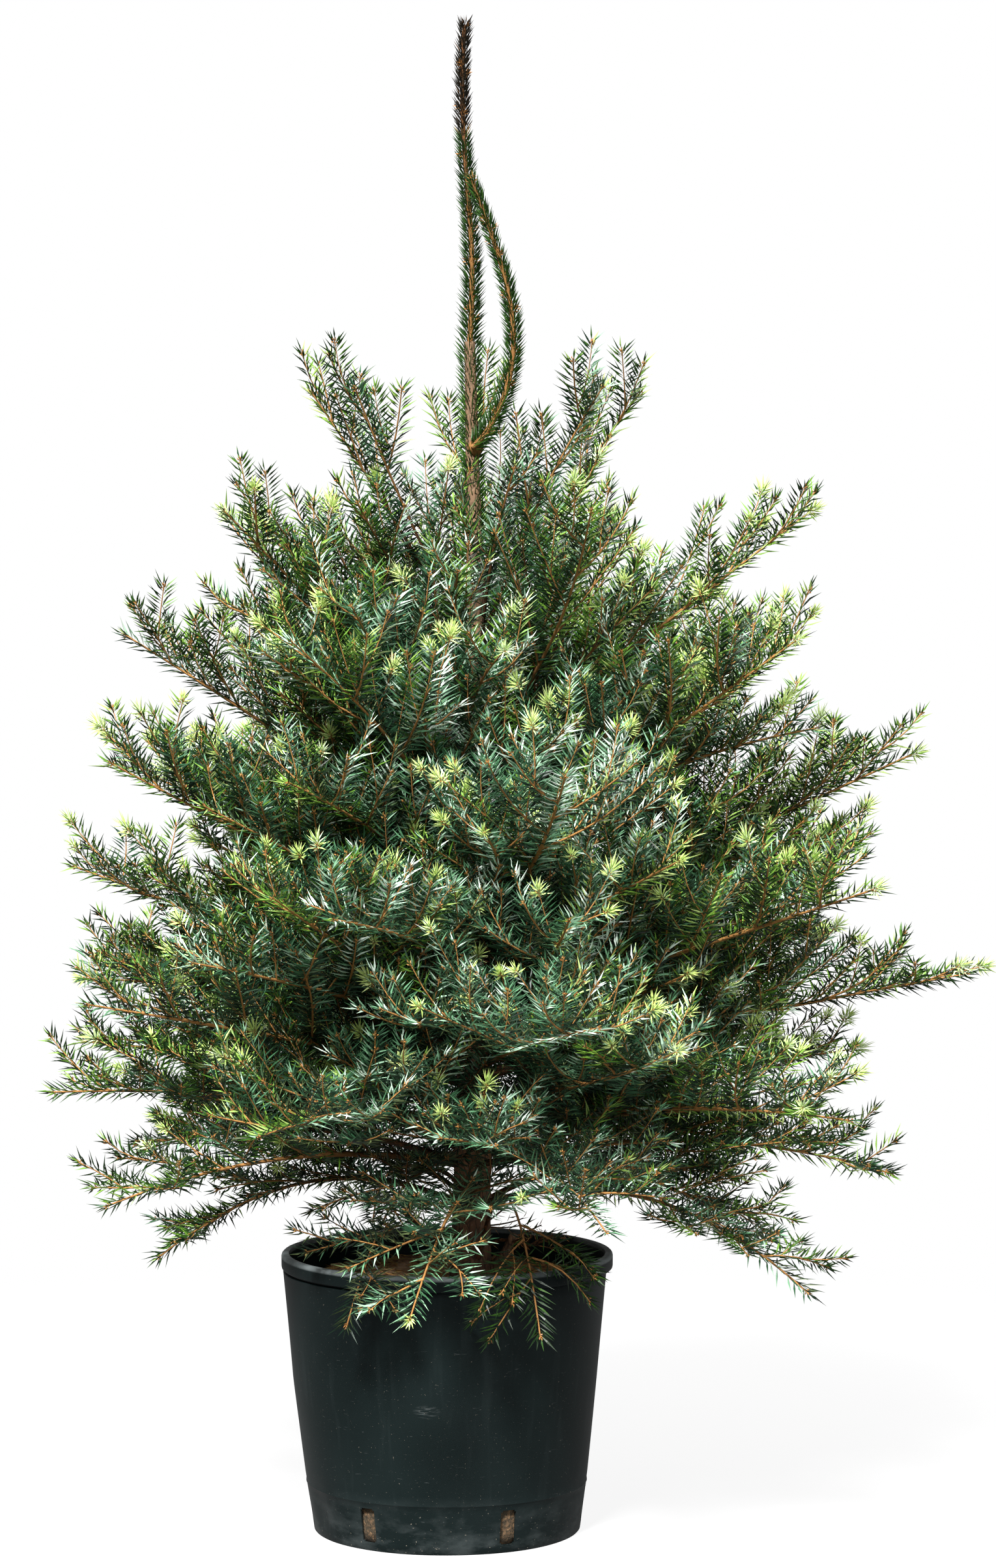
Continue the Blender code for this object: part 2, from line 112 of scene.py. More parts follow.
# Tiers, lowest first: height, rise, tip rise and reach as shares of the trunk, first direction, shoot bend.
TIERS = (
    (0.086, 0.063, -0.068, 0.362, 35.0, -0.10),
    (0.127, 0.050, -0.014, 0.443, 2.0, 0.00),
    (0.172, 0.045, 0.041, 0.480, 38.0, 0.06),
    (0.226, 0.054, 0.100, 0.520, 4.0, 0.12),
    (0.290, 0.077, 0.154, 0.480, 35.0, 0.18),
    (0.362, 0.100, 0.204, 0.452, 0.0, 0.22),
    (0.452, 0.127, 0.240, 0.389, 30.0, 0.26),
    (0.561, 0.136, 0.262, 0.321, 2.0, 0.30),
    (0.688, 0.145, 0.262, 0.186, 20.0, 0.34),
)
LIMBS_PER_TIER = 5
LEAN_RIGHT = 0.06
LIMB_SWAY = 0.030
LIMB_TURN = 9.0
DROOPING = (
    ("drooping_branch_left", 0.115, -0.130, 237.5, -0.10, 0.30, 5),
    ("drooping_branch_right", 0.030, -0.057, 289.6, -0.45, 0.62, 4),
)
BEYOND_RIM = 0.050
OVER_RIM = 0.012
TWIGS = (
    (0.045, 0.010, 0.120, 338.0),
    (0.055, 0.035, 0.105, 205.0),
    (0.050, 0.020, 0.115, 75.0),
)
LIMB_BASE_RADIUS = 0.0050
LIMB_RADIUS = 0.0085
TWIG_RADIUS = 0.0030
SHOOT_BASE_RADIUS = 0.0060
SHOOT_RADIUS = 0.0075
SHOOT_TIP_RADIUS = 0.0045
SHOOT_PITCH = 0.058
MOST_SHOOTS = 8
LEAST_SHOOTS = 4
BARE_SHARE = 0.20
SHOOT_START = 0.06
LAST_SHOOT = 0.86
SHOOT_SHARE = 0.42
SHOOT_LEAST = 0.055
SHOOT_SHRINK = (1.0, 0.82, 0.66, 0.5)
SAMPLE_STEP = 0.008
OWN_CLEARANCE = 0.032
ROOM = 0.001
LIMB_TURNS = (0, 4, -4, 8, -8, 12, -12, 16, -16, 20, -20, 25, -25, 30, -30)
LIMB_SHRINK = (1.0, 0.94, 0.88, 0.82, 0.76, 0.7)

# ---------------------------------------------------------------- sizes of what is drawn

NEEDLE_LENGTH = 0.0275
NEEDLE_WIDTH = 0.00138
NEEDLE_SPACING = 0.0020
NEEDLE_SPLAY = math.radians(66.0)
SURROUND = 0.225
GOLDEN_ANGLE = 2.39996
ROW_PARTING = 0.7
ROUND_ASIDE = 0.75
ROOT_SHARE = 0.85
TWIG_SIDES = 4
NEEDLE_LIFT = 0.25
NEEDLE_FLATNESS = 0.70
TUFT_SPACING = 0.00036
TUFT_WIDTH = 0.00115
BUD_SPACING = 0.0008
BUD_WIDTH = 0.0012
TONE_SPREAD = 0.080
NEW_TONE_SPREAD = 0.015
# How much paler or darker each needle is painted by how it faces the lamp: painted light and shade, weaker on
# the drooping branches.
TONE_SLOPE = 0.235
DROOPING_TONE_SLOPE = 0.09

# How pale a shoot's needles are painted by where it is, as painted light and shade, and the chance that they
# are warm rather than bluish.
LIGHT_OUTER = 0.31
LIGHT_FRONT = 0.26
LIGHT_TOP = 0.55
LIGHT_ASIDE = 0.36
LIGHT_CHANCE = 0.25
LIGHT_HIGH = 0.34
LIGHT_LOW = 0.34
LIGHT_LOW_LEFT = 1.5
WARM_SHARE = 0.36
WARM_ASIDE = 0.75
WARM_FRONT = 0.34
WARM_TOP = 0.40
WARM_BOTTOM = 0.20
LOW_CROWN = 0.30
HIGH_CROWN = 0.70

SPARSE_FROM = 8
LEADER_BUDS = 16
LEADER_CHARRED_FROM = 0.66
# The lamp's side, towards which facing needles are painted paler, and the facing at which the painting turns
# from shade to light.
LIT_FROM = (-0.25, -0.55, 0.80)
LIT_MIDDLE = 0.15
TUFT_NEEDLE = 0.0140
TUFT_SHARE = 0.22
FILLERS = 80

# Tones: a band for yellow-green needles, a band for blue-green ones, and a few marks of their own. In each
# band the lowest tones are painted shade and the highest painted light.
CHARRED, DRY, STRAW = 0.02, 0.07, 0.11
WARM_SHADE, WARM_LOW, WARM_HIGH = 0.16, 0.18, 0.42
COOL_SHADE, COOL_LOW, COOL_HIGH = 0.54, 0.57, 0.885
LIME, FRESH = 0.94, 0.99
# The bands are apart: where each after the first begins to count, and the lowest and highest tone in each
BAND_STARTS = (0.14, 0.50, 0.92)
BAND_LEAST = (0.0, 0.15, 0.52, 0.93)
BAND_MOST = (0.125, 0.48, 0.90, 1.0)
# The drooping branches' needles are painted in the shade tones of their bands; neither has fresh tufts, and
# the right one is sparser.
DROOPING_LOOKS = {
    "drooping_branch_right": {"tone": WARM_SHADE, "fresh": 0.0, "density": 0.55},
    "drooping_branch_left": {"tone": COOL_SHADE - 0.025, "fresh": 0.0},
}


# ---------------------------------------------------------------- how the spruce grows


def wall_radius(height):
    """The pot's outer radius at a height: steep in the foot band, then a steady taper up to the neck."""
    if height < POT_SHOULDER_HEIGHT:
        share = height / POT_SHOULDER_HEIGHT
        return POT_FOOT_RADIUS + (POT_SHOULDER_RADIUS - POT_FOOT_RADIUS) * share
    share = (height - POT_SHOULDER_HEIGHT) / (POT_HEIGHT - POT_SHOULDER_HEIGHT)
    return POT_SHOULDER_RADIUS + (POT_NECK_RADIUS - POT_SHOULDER_RADIUS) * share


def trunk_centre(height):
    """A point on the trunk's centre line, at a height above the soil."""
    share = max(0.0, height) / TRUNK_LENGTH
    return np.array([TRUNK_OFFSET + TRUNK_BOW * math.sin(math.pi * share), 0.0, SOIL_TOP + height])


def trunk_radius(height):
    """The trunk's radius: the collar's at the soil, a quick taper above it, then a slow one."""
    share = min(1.0, max(0.0, height) / TRUNK_LENGTH)
    return TRUNK_TOP_RADIUS + (COLLAR_RADIUS - TRUNK_TOP_RADIUS) * (1.0 - share) ** 1.15


def resampled(path, radii):
    """Points a step apart along the path's straight runs, each with its radius as a fourth number."""
    nodes = np.column_stack([path, radii])
    rows = [nodes[:1]]
    for start, end in zip(nodes[:-1], nodes[1:]):
        count = max(1, math.ceil(np.linalg.norm((end - start)[:3]) / SAMPLE_STEP))
        rows.append(start + (end - start) * (np.arange(1, count + 1) / count)[:, None])
    return np.concatenate(rows)


def separation(first, second):
    """The least room between two sets of samples, with each sample a ball of its own radius."""
    if not len(first) or not len(second):
        return math.inf
    apart = np.linalg.norm(first[:, None, :3] - second[None, :, :3], axis=2)
    return (apart - first[:, None, 3] - second[None, :, 3]).min()


class Crown:
    """The space that grown shoots take, as samples with an owner, so that no two branches meet."""

    def __init__(self):
        self.samples = np.zeros((0, 4))
        self.owner = np.zeros(0, object)

    def free(self, path, radii, owner):
        """Whether a path keeps clear of everything taken so far."""
        probe = resampled(path, radii)
        if not self.clear_of_pot(probe) or not self.clear_of_trunk(probe):
            return False
        return self.clear_of_shoots(probe, owner)

    def clear_of_shoots(self, probe, owner):
        """Whether it keeps off the other limbs and, away from its own foot, off its own limb."""
        own = self.samples[self.owner == owner]
        others = self.samples[self.owner != owner]
        away = probe[np.linalg.norm((probe - probe[0])[:, :3], axis=1) > OWN_CLEARANCE]
        return separation(probe, others) > ROOM and separation(away, own) > ROOM

    def clear_of_pot(self, probe):
        """Whether it keeps off the pot and the soil."""
        radius = np.hypot(probe[:, 0], probe[:, 1])
        margin = probe[:, 3] + ROOM
        within_wall = radius < wall_radius(SOIL_TOP) - POT_WALL - margin
        over_chips = probe[:, 2] > SOIL_TOP + CHIP_THICKNESS + margin
        outside = radius > RIM_RADIUS + margin
        above = probe[:, 2] > POT_HEIGHT + margin
        return bool((within_wall & over_chips | outside | above).all())

    def clear_of_trunk(self, probe):
        """Whether it keeps off the trunk."""
        for x, y, z, sleeve in probe[2:]:
            centre = trunk_centre(z - SOIL_TOP)
            if math.hypot(x - centre[0], y - centre[1]) <= trunk_radius(z - SOIL_TOP) + sleeve:
                return False
        return True

    def take(self, path, radii, owner):
        """Marks the room that a path takes."""
        probe = resampled(path, radii)
        self.samples = np.concatenate([self.samples, probe])
        self.owner = np.concatenate([self.owner, np.full(len(probe), owner, object)])


def limb_path(spec, azimuth, shares):
    """Points of a limb: it leaves the bark at its rise, bends to its tip's height and sways sideways."""
    lean = math.atan2(2.0 * spec["rise"], spec["reach"])
    skin = trunk_radius(spec["height"]) + GAP + LIMB_BASE_RADIUS * math.sin(abs(lean))
    out = np.array([math.cos(azimuth), math.sin(azimuth), 0.0])
    side = np.array([-out[1], out[0], 0.0])
    s = np.asarray(shares)[:, None]
    climb = spec["rise"] * 2.0 * s * (1.0 - s) + spec["tip"] * s**2
    across = spec["sway"] * np.sin(math.pi * 0.9 * s)
    run = skin + (spec["reach"] - skin) * s
    return trunk_centre(spec["height"]) + out * run + side * across + UP * climb


def shoot_path(base, heading, length, bend, count=3):
    """A side shoot: it sets off along its heading and bends up by a share of its length."""
    shares = np.linspace(0.0, 1.0, count)[:, None]
    return base + heading * length * shares + UP * bend * length * shares**2


def over_the_rim(height, tip, direction):
    """Reach and rise of a limb that clears the rim on its way out and ends just beyond it."""
    out = np.array([math.cos(direction), math.sin(direction)])
    along = TRUNK_OFFSET * out[0]
    to_rim = math.sqrt(along**2 - TRUNK_OFFSET**2 + RIM_RADIUS**2) - along
    reach = to_rim + BEYOND_RIM
    share = (to_rim + LIMB_RADIUS + ROOM) / reach
    needed = SOIL_BELOW_RIM + OVER_RIM - height
    return reach, (needed - tip * share**2) / (2.0 * share * (1.0 - share))


def drooping_specs():
    """The two low branches that hang over the rim."""
    for index, (name, height, tip, direction, bend, bare, shoots) in enumerate(DROOPING):
        reach, rise = over_the_rim(height, tip, math.radians(direction))
        yield dict(name=name, height=height, rise=rise, tip=tip, reach=reach, direction=direction, bend=bend,
                   bare=bare, shoots=shoots, sway=0.0, dice=random.Random(index), tier=0)


def twig_specs():
    """The bare dead twigs low on the trunk."""
    for index, (height, tip, reach, direction) in enumerate(TWIGS, start=1):
        yield dict(name=f"bare_twig_{index}", height=height, rise=tip / 2, tip=tip, reach=reach,
                   direction=direction, bend=0.0, bare=1.0, shoots=0, sway=0.0, dice=random.Random(index),
                   tier=0)


def tier_specs():
    """The limbs of every tier, each with its own turn and reach."""
    for tier, (height, rise, tip, reach, first, bend) in enumerate(TIERS, start=1):
        for number in range(LIMBS_PER_TIER):
            dice = random.Random(100 * tier + number)
            direction = first + number * 360.0 / LIMBS_PER_TIER
            direction += dice.uniform(-LIMB_TURN, LIMB_TURN) * (number > 0)
            lean = LEAN_RIGHT * math.cos(math.radians(direction))
            own = reach * TRUNK_LENGTH * (1.0 + lean + dice.uniform(-0.07, 0.05))
            shoots = int(min(MOST_SHOOTS, max(LEAST_SHOOTS, own // SHOOT_PITCH)))
            sway = dice.uniform(-LIMB_SWAY, LIMB_SWAY)
            yield dict(name=f"tier_{tier}_branch_{number + 1}", height=height * TRUNK_LENGTH,
                       rise=rise * TRUNK_LENGTH, tip=tip * TRUNK_LENGTH, reach=own, direction=direction,
                       bend=bend, bare=BARE_SHARE, shoots=shoots, sway=sway, dice=dice, tier=tier)


def limb_stations(spec):
    """Where along the limb its side shoots start, as shares of its reach."""
    return np.linspace(spec["bare"] + SHOOT_START, LAST_SHOOT, spec["shoots"])


def limb_radii(spec, shares):
    """Bare wood by the trunk, then a full sleeve of needles, then a narrower tip."""
    radii = np.where(shares < spec["bare"], LIMB_BASE_RADIUS, LIMB_RADIUS)
    if not spec["shoots"]:
        radii = np.full(len(shares), TWIG_RADIUS)
    radii[-1] = min(radii[-1], SHOOT_TIP_RADIUS)
    return radii


def grow_limbs(crown):
    """Gives every limb its path. A limb turns aside, or ends nearer the trunk, until it has room."""
    limbs = []
    for spec in (*drooping_specs(), *twig_specs(), *tier_specs()):
        shares = np.unique([0.0, spec["bare"] / 2, *limb_stations(spec), 1.0])
        radii = limb_radii(spec, shares)
        for shrink, turn in itertools.product(LIMB_SHRINK, LIMB_TURNS):
            fitted = {**spec, "reach": spec["reach"] * shrink}
            azimuth = math.radians(spec["direction"] + turn)
            path = limb_path(fitted, azimuth, shares)
            if crown.free(path, radii, spec["name"]):
                break
        crown.take(path, radii, spec["name"])
        grown = {"path": path, "radii": radii, "shares": shares, "fitted": fitted, "azimuth": azimuth}
        limbs.append({**spec, **grown})
    return limbs


def shoot_heading(along, hand, dice):
    """The direction in which a side shoot sets off: forwards, out to one side and a little up."""
    side = np.cross(along, UP)
    side *= hand / np.linalg.norm(side)
    roll = math.radians(dice.uniform(2.0, 34.0))
    angle = math.radians(dice.uniform(42.0, 56.0))
    out = side * math.cos(roll) + UP * math.sin(roll)
    heading = along * math.cos(angle) + out * math.sin(angle)
    return heading / np.linalg.norm(heading)


def grow_shoots(limb, crown):
    """The side shoots of a limb, left and right in turn, each shortened or left out where it has no room."""
    path, shares, dice = limb["path"], limb["shares"], limb["dice"]
    radii = np.array([SHOOT_BASE_RADIUS, SHOOT_RADIUS, SHOOT_TIP_RADIUS])
    shoots = []
    for index, station in enumerate(limb_stations(limb)):
        at = int(np.argmin(abs(shares - station)))
        along = path[at + 1] - path[at - 1]
        heading = shoot_heading(along / np.linalg.norm(along), 1 if index % 2 else -1, dice)
        full = SHOOT_LEAST + SHOOT_SHARE * limb["reach"] * (1.0 - station) * dice.uniform(0.85, 1.15)
        for shrink in SHOOT_SHRINK:
            length = full * shrink
            shoot = shoot_path(path[at], heading, length, limb["bend"])
            if crown.free(shoot, radii, limb["name"]):
                crown.take(shoot[1:], radii[1:], limb["name"])
                shoots.append({"base": path[at], "heading": heading, "length": length})
                break
    return shoots


def leader_path(shares):
    """The leader stands on the trunk's top and sways a little on its way up."""
    s = np.asarray(shares)[:, None]
    sway = RIGHT * (LEADER_WAVE * np.sin(2 * math.pi * s) - LEADER_LEAN * s)
    return trunk_centre(TRUNK_LENGTH) + sway + UP * (GAP + LEADER_LENGTH * s)


def side_leader_path(shares):
    """The side leader starts on the trunk's front, bows out to the right and ends in front of the leader."""
    s = np.asarray(shares)[:, None]
    start = TRUNK_LENGTH - SIDE_LEADER_DROP
    front = trunk_radius(start) + LEADER_RADIUS + GAP
    bow = RIGHT * SIDE_LEADER_BOW * np.sin(math.pi * s**0.8)
    forward = FRONT * (front + SIDE_LEADER_FORWARD * s)
    return trunk_centre(start) + bow + forward + UP * SIDE_LEADER_LENGTH * s


def take_leaders(crown):
    """Marks the room that both leaders take."""
    shares = np.linspace(0.0, 1.0, 9)
    radii = np.where((shares > 0.0) & (shares < 1.0), LEADER_RADIUS, LEADER_TIP_RADIUS)
    crown.take(leader_path(shares), radii, "leader")
    crown.take(side_leader_path(shares), radii, "side_leader")


# ---------------------------------------------------------------- node trees


class Socket:
    """An output in a node tree. Arithmetic on it adds Math nodes; [name] is another output of its node."""

    def __init__(self, graph, output):
        self.graph = graph
        self.output = output

    def __getitem__(self, key):
        return Socket(self.graph, self.output.node.outputs[key])

    def math(self, operation, *others):
        values = dict(enumerate((self, *others)))
        return self.graph.node("ShaderNodeMath", values, operation=operation)

    def __add__(self, other):
        return self.math("ADD", other)

    def __sub__(self, other):
        return self.math("SUBTRACT", other)

    def __mul__(self, other):
        return self.math("MULTIPLY", other)

    def __truediv__(self, other):
        return self.math("DIVIDE", other)

    def __pow__(self, other):
        return self.math("POWER", other)

    def __rsub__(self, other):
        return self.graph.node("ShaderNodeMath", {0: other, 1: self}, operation="SUBTRACT")

    def __rtruediv__(self, other):
        return self.graph.node("ShaderNodeMath", {0: other, 1: self}, operation="DIVIDE")

    __radd__ = __add__
    __rmul__ = __mul__

    def clamped(self):
        return self.graph.node("ShaderNodeClamp", {0: self})

    def above(self, low, high):
        """0 below low, 1 above high, and a straight rise between them."""
        return self.graph.node("ShaderNodeMapRange", {0: self, 1: low, 2: high, 3: 0.0, 4: 1.0})


class Graph:
    """A node tree that is built with node()."""

    def __init__(self, tree):
        self.tree = tree

    def node(self, kind, values=None, output=0, stops=None, **settings):
        """Adds a node: its settings and ramp stops first, then the values or links of its inputs."""
        made = self.tree.nodes.new(kind)
        for name, value in settings.items():
            setattr(made, name, value)
        if stops:
            self.set_stops(made.color_ramp, stops)
        for key, value in (values or {}).items():
            self.feed(made.inputs[key], value)
        return Socket(self, made.outputs[output]) if len(made.outputs) else made

    def feed(self, entry, value):
        """Links an output to an input, or sets the input to a plain value."""
        if isinstance(value, Socket):
            self.tree.links.new(value.output, entry)
        else:
            entry.default_value = value

    @staticmethod
    def set_stops(ramp, stops):
        """Gives a colour ramp its stops."""
        while len(ramp.elements) < len(stops):
            ramp.elements.new(0.5)
        for element, (place, colour) in zip(ramp.elements, stops):
            element.position = place
            element.color = (*colour, 1.0)

    def vector(self, operation, first, second=None, output=0):
        """A Vector Math node."""
        values = {0: first} if second is None else {0: first, 1: second}
        return self.node("ShaderNodeVectorMath", values, output, operation=operation)

    def scaled(self, vector, factor):
        """A vector times a number."""
        return self.node("ShaderNodeVectorMath", {0: vector, "Scale": factor}, operation="SCALE")

    def mix(self, factor, first, second, blend="MIX"):
        """A colour between two colours."""
        first = first if isinstance(first, Socket) else (*first, 1.0)
        second = second if isinstance(second, Socket) else (*second, 1.0)
        values = {0: factor, 6: first, 7: second}
        return self.node("ShaderNodeMix", values, 2, data_type="RGBA", blend_type=blend)


class Finish(Graph):
    """A material with one Principled shader."""

    def __init__(self, name, **constants):
        self.material = bpy.data.materials.new(name)
        self.material.use_nodes = True
        super().__init__(self.material.node_tree)
        self.shader = self.tree.nodes["Principled BSDF"]
        for key, value in constants.items():
            self.shader.inputs[key.replace("_", " ")].default_value = value

    def place(self):
        return self.node("ShaderNodeTexCoord", output="Object")

    def noise(self, place, scale, detail=3.0, roughness=0.55, distortion=0.0):
        values = {"Vector": place, "Scale": scale, "Detail": detail, "Roughness": roughness,
                  "Distortion": distortion}
        return self.node("ShaderNodeTexNoise", values)

    def stretched(self, place, scale):
        return self.node("ShaderNodeMapping", {"Vector": place, "Scale": scale})

    def use(self, name, value):
        self.feed(self.shader.inputs[name], value)

    def bump(self, height, strength, distance):
        values = {"Height": height, "Strength": strength, "Distance": distance}
        self.use("Normal", self.node("ShaderNodeBump", values))


def needle_finish():
    """Needles read only their own map: u runs along the needle, v is the needle's tone, with painted light
    and shade in it.
    """
    finish = Finish("spruce_needles", Roughness=0.42, Specular_IOR_Level=0.30)
    spot = finish.node("ShaderNodeUVMap", uv_map="OFBake")
    split = finish.node("ShaderNodeSeparateXYZ", {0: spot})
    along, tone = split["X"], split["Y"]
    # Stops in each band run from painted shade, through the needles' own greens, to painted highlights, near
    # white in the blue-green band.
    stops = (
        (CHARRED, (0.007, 0.006, 0.003)),
        (0.045, (0.012, 0.009, 0.005)),
        (DRY, (0.40, 0.17, 0.045)),
        (STRAW, (0.34, 0.25, 0.085)),
        (0.15, (0.005, 0.015, 0.004)),
        (0.22, (0.012, 0.041, 0.006)),
        (0.30, (0.044, 0.124, 0.012)),
        (0.38, (0.190, 0.370, 0.045)),
        (0.46, (0.520, 0.660, 0.230)),
        (0.49, (0.520, 0.660, 0.230)),
        (0.52, (0.004, 0.013, 0.007)),
        (0.61, (0.011, 0.036, 0.017)),
        (0.69, (0.034, 0.108, 0.048)),
        (0.76, (0.145, 0.330, 0.175)),
        (0.83, (0.540, 0.740, 0.580)),
        (0.90, (0.860, 0.950, 0.860)),
        (LIME, (0.520, 0.700, 0.160)),
        (FRESH, (0.860, 0.960, 0.470)),
    )
    colour = finish.node("ShaderNodeValToRGB", {0: tone}, stops=stops)
    foot = 1.0 - along.above(0.0, 0.22)
    colour = finish.mix(foot * 0.25, colour, (0.09, 0.085, 0.02))
    colour = finish.mix(along.above(0.55, 1.0) * 0.4, colour, (1.0, 1.0, 0.85), "SOFT_LIGHT")
    finish.use("Base Color", colour)
    return finish.material


def twig_finish():
    """Young twigs: orange brown far from the trunk, darker and duller near it."""
    finish = Finish("spruce_twigs", Roughness=0.75, Specular_IOR_Level=0.15)
    place = finish.place()
    split = finish.node("ShaderNodeSeparateXYZ", {0: place})
    aside = ((split["X"] - TRUNK_OFFSET) ** 2.0 + split["Y"] ** 2.0) ** 0.5
    young = (aside.above(0.08, 0.30) + split["Z"].above(SOIL_TOP + 0.86, SOIL_TOP + 0.98) * 0.6).clamped()
    colour = finish.mix(young, (0.034, 0.021, 0.013), (0.41, 0.205, 0.062))
    young = split["Z"].above(SOIL_TOP + 0.99, SOIL_TOP + 1.05) * 0.75
    colour = finish.mix(young, colour, (0.190, 0.098, 0.028))
    burnt = split["Z"].above(SOIL_TOP + 1.22, SOIL_TOP + 1.36)
    colour = finish.mix(burnt * 0.95, colour, (0.010, 0.007, 0.004))
    grain = finish.noise(place, 260.0, 3.0)
    colour = finish.mix(grain.above(0.42, 0.7) * 0.6, colour, (0.26, 0.105, 0.035))
    finish.use("Base Color", colour)
    finish.bump(grain, 0.5, 0.0006)
    return finish.material


def bark_finish():
    """The trunk: thin grey-brown flakes over red-brown bark, darker towards the soil."""
    finish = Finish("spruce_bark", Roughness=0.85)
    place = finish.place()
    height = finish.node("ShaderNodeSeparateXYZ", {0: place})["Z"]
    long = finish.stretched(place, (1.0, 1.0, 0.35))
    flakes = finish.node("ShaderNodeTexVoronoi", {"Vector": long, "Scale": 150.0, "Randomness": 1.0},
                         feature="DISTANCE_TO_EDGE")
    cloud = finish.noise(place, 38.0, 5.0)
    colour = finish.mix(cloud.above(0.35, 0.65), (0.16, 0.075, 0.035), (0.36, 0.185, 0.090))
    colour = finish.mix(flakes.above(0.0, 0.10), (0.050, 0.028, 0.016), colour)
    speck = finish.noise(place, 220.0, 2.0).above(0.60, 0.72)
    colour = finish.mix(speck * 0.5, colour, (0.42, 0.33, 0.24))
    young = height.above(SOIL_TOP + 0.25, SOIL_TOP + 0.95)
    colour = finish.mix(young * 0.75, colour, (0.165, 0.105, 0.058))
    low = 1.0 - height.above(SOIL_TOP, SOIL_TOP + 0.16)
    colour = finish.mix(low * 0.7, colour, (0.045, 0.028, 0.018))
    finish.use("Base Color", colour)
    finish.bump(flakes.above(0.0, 0.14) * 0.7 + cloud * 0.3, 0.8, 0.0012)
    return finish.material


def plastic_finish():
    """Black moulded plastic: satin, with fine haze, dust specks and a few long scratches, faint painted
    highlight streaks down the wall and a painted highlight band under the rim's top edge.
    """
    finish = Finish("black_plastic", Roughness=0.4, Specular_IOR_Level=0.12)
    place = finish.place()
    split = finish.node("ShaderNodeSeparateXYZ", {0: place})
    haze = finish.noise(place, 9.0, 4.0)
    fine = finish.noise(place, 900.0, 2.0)
    dust = finish.noise(place, 420.0, 2.0).above(0.70, 0.76)
    drag = finish.stretched(place, (1.0, 1.0, 9.0))
    scratch = finish.noise(drag, 60.0, 2.0, 0.4, 2.5).above(0.735, 0.76)
    low = 1.0 - split["Z"].above(0.0, 0.07)
    colour = finish.mix(haze.above(0.3, 0.75), (0.0040, 0.0078, 0.0078), (0.0068, 0.0118, 0.0118))
    band = low * finish.noise(finish.stretched(place, (1.0, 1.0, 2.2)), 24.0, 4.0, 0.6).above(0.44, 0.66)
    colour = finish.mix(band * 0.55, colour, (0.055, 0.066, 0.066))
    # Painted highlights: faint pale vertical streaks down the wall.
    highlight_streak = finish.noise(finish.stretched(place, (1.0, 1.0, 0.05)), 75.0, 2.0).above(0.56, 0.74)
    colour = finish.mix(highlight_streak * 0.10, colour, (0.040, 0.052, 0.052))
    squeezed = finish.stretched(place, (1.0, 0.35, 1.9))
    away = finish.vector("DISTANCE", squeezed, (-0.022, -0.063, 0.325), "Value")
    scuff = (1.0 - away.above(0.004, 0.017)) * finish.noise(drag, 90.0, 2.0).above(0.50, 0.58)
    colour = finish.mix(scuff * 0.24, colour, (0.16, 0.18, 0.18))
    # Painted highlight: a paler band in patches just under the lip's top edge, where the rim catches the
    # light.
    rim_highlight = split["Z"].above(POT_HEIGHT - 0.0058, POT_HEIGHT - 0.0038)
    rim_highlight = rim_highlight * finish.noise(place, 12.0, 4.0).above(0.35, 0.55)
    colour = finish.mix(rim_highlight * 0.7, colour, (0.22, 0.25, 0.25))
    colour = finish.mix((scratch * 0.20).clamped(), colour, (0.20, 0.21, 0.21))
    colour = finish.mix((dust * (0.22 + low * 0.5)).clamped(), colour, (0.34, 0.30, 0.24))
    finish.use("Base Color", colour)
    finish.use("Roughness", 0.34 + haze * 0.16 + dust * 0.3 + scratch * 0.15)
    finish.bump(fine * 0.4 + haze * 0.6, 0.12, 0.0010)
    return finish.material


def soil_finish():
    """Brown clods with pale fibres. The side that the pot hides is darker, with crumbs in it."""
    finish = Finish("potting_soil", Roughness=0.95)
    place = finish.place()
    clods = finish.noise(place, 120.0, 6.0, 0.65)
    colour = finish.mix(clods.above(0.30, 0.70), (0.075, 0.036, 0.017), (0.46, 0.25, 0.12))
    fibre = finish.noise(finish.stretched(place, (1.0, 1.0, 0.3)), 420.0, 2.0).above(0.62, 0.70)
    height = finish.node("ShaderNodeSeparateXYZ", {0: place})["Z"]
    buried = 1.0 - height.above(SOIL_TOP - 0.03, SOIL_TOP - 0.015)
    crumbs = finish.noise(place, 210.0, 4.0, 0.7).above(0.47, 0.60)
    colour = finish.mix(buried * (1.0 - crumbs), colour, (0.010, 0.008, 0.006))
    colour = finish.mix(fibre * 0.8, colour, (0.75, 0.42, 0.20))
    colour = finish.mix(buried * 0.70, colour, (0.050, 0.036, 0.018))
    finish.use("Base Color", colour)
    finish.bump(clods, 1.0, 0.0025)
    return finish.material


def chip_finish():
    """Brown bark with a grain."""
    finish = Finish("bark_chips", Roughness=0.85)
    place = finish.place()
    grain = finish.noise(finish.stretched(place, (1.0, 1.0, 6.0)), 130.0, 4.0)
    colour = finish.mix(grain.above(0.3, 0.7), (0.16, 0.080, 0.040), (0.46, 0.30, 0.17))
    finish.use("Base Color", colour)
    finish.bump(grain, 0.7, 0.0010)
    return finish.material


# ---------------------------------------------------------------- geometry trees


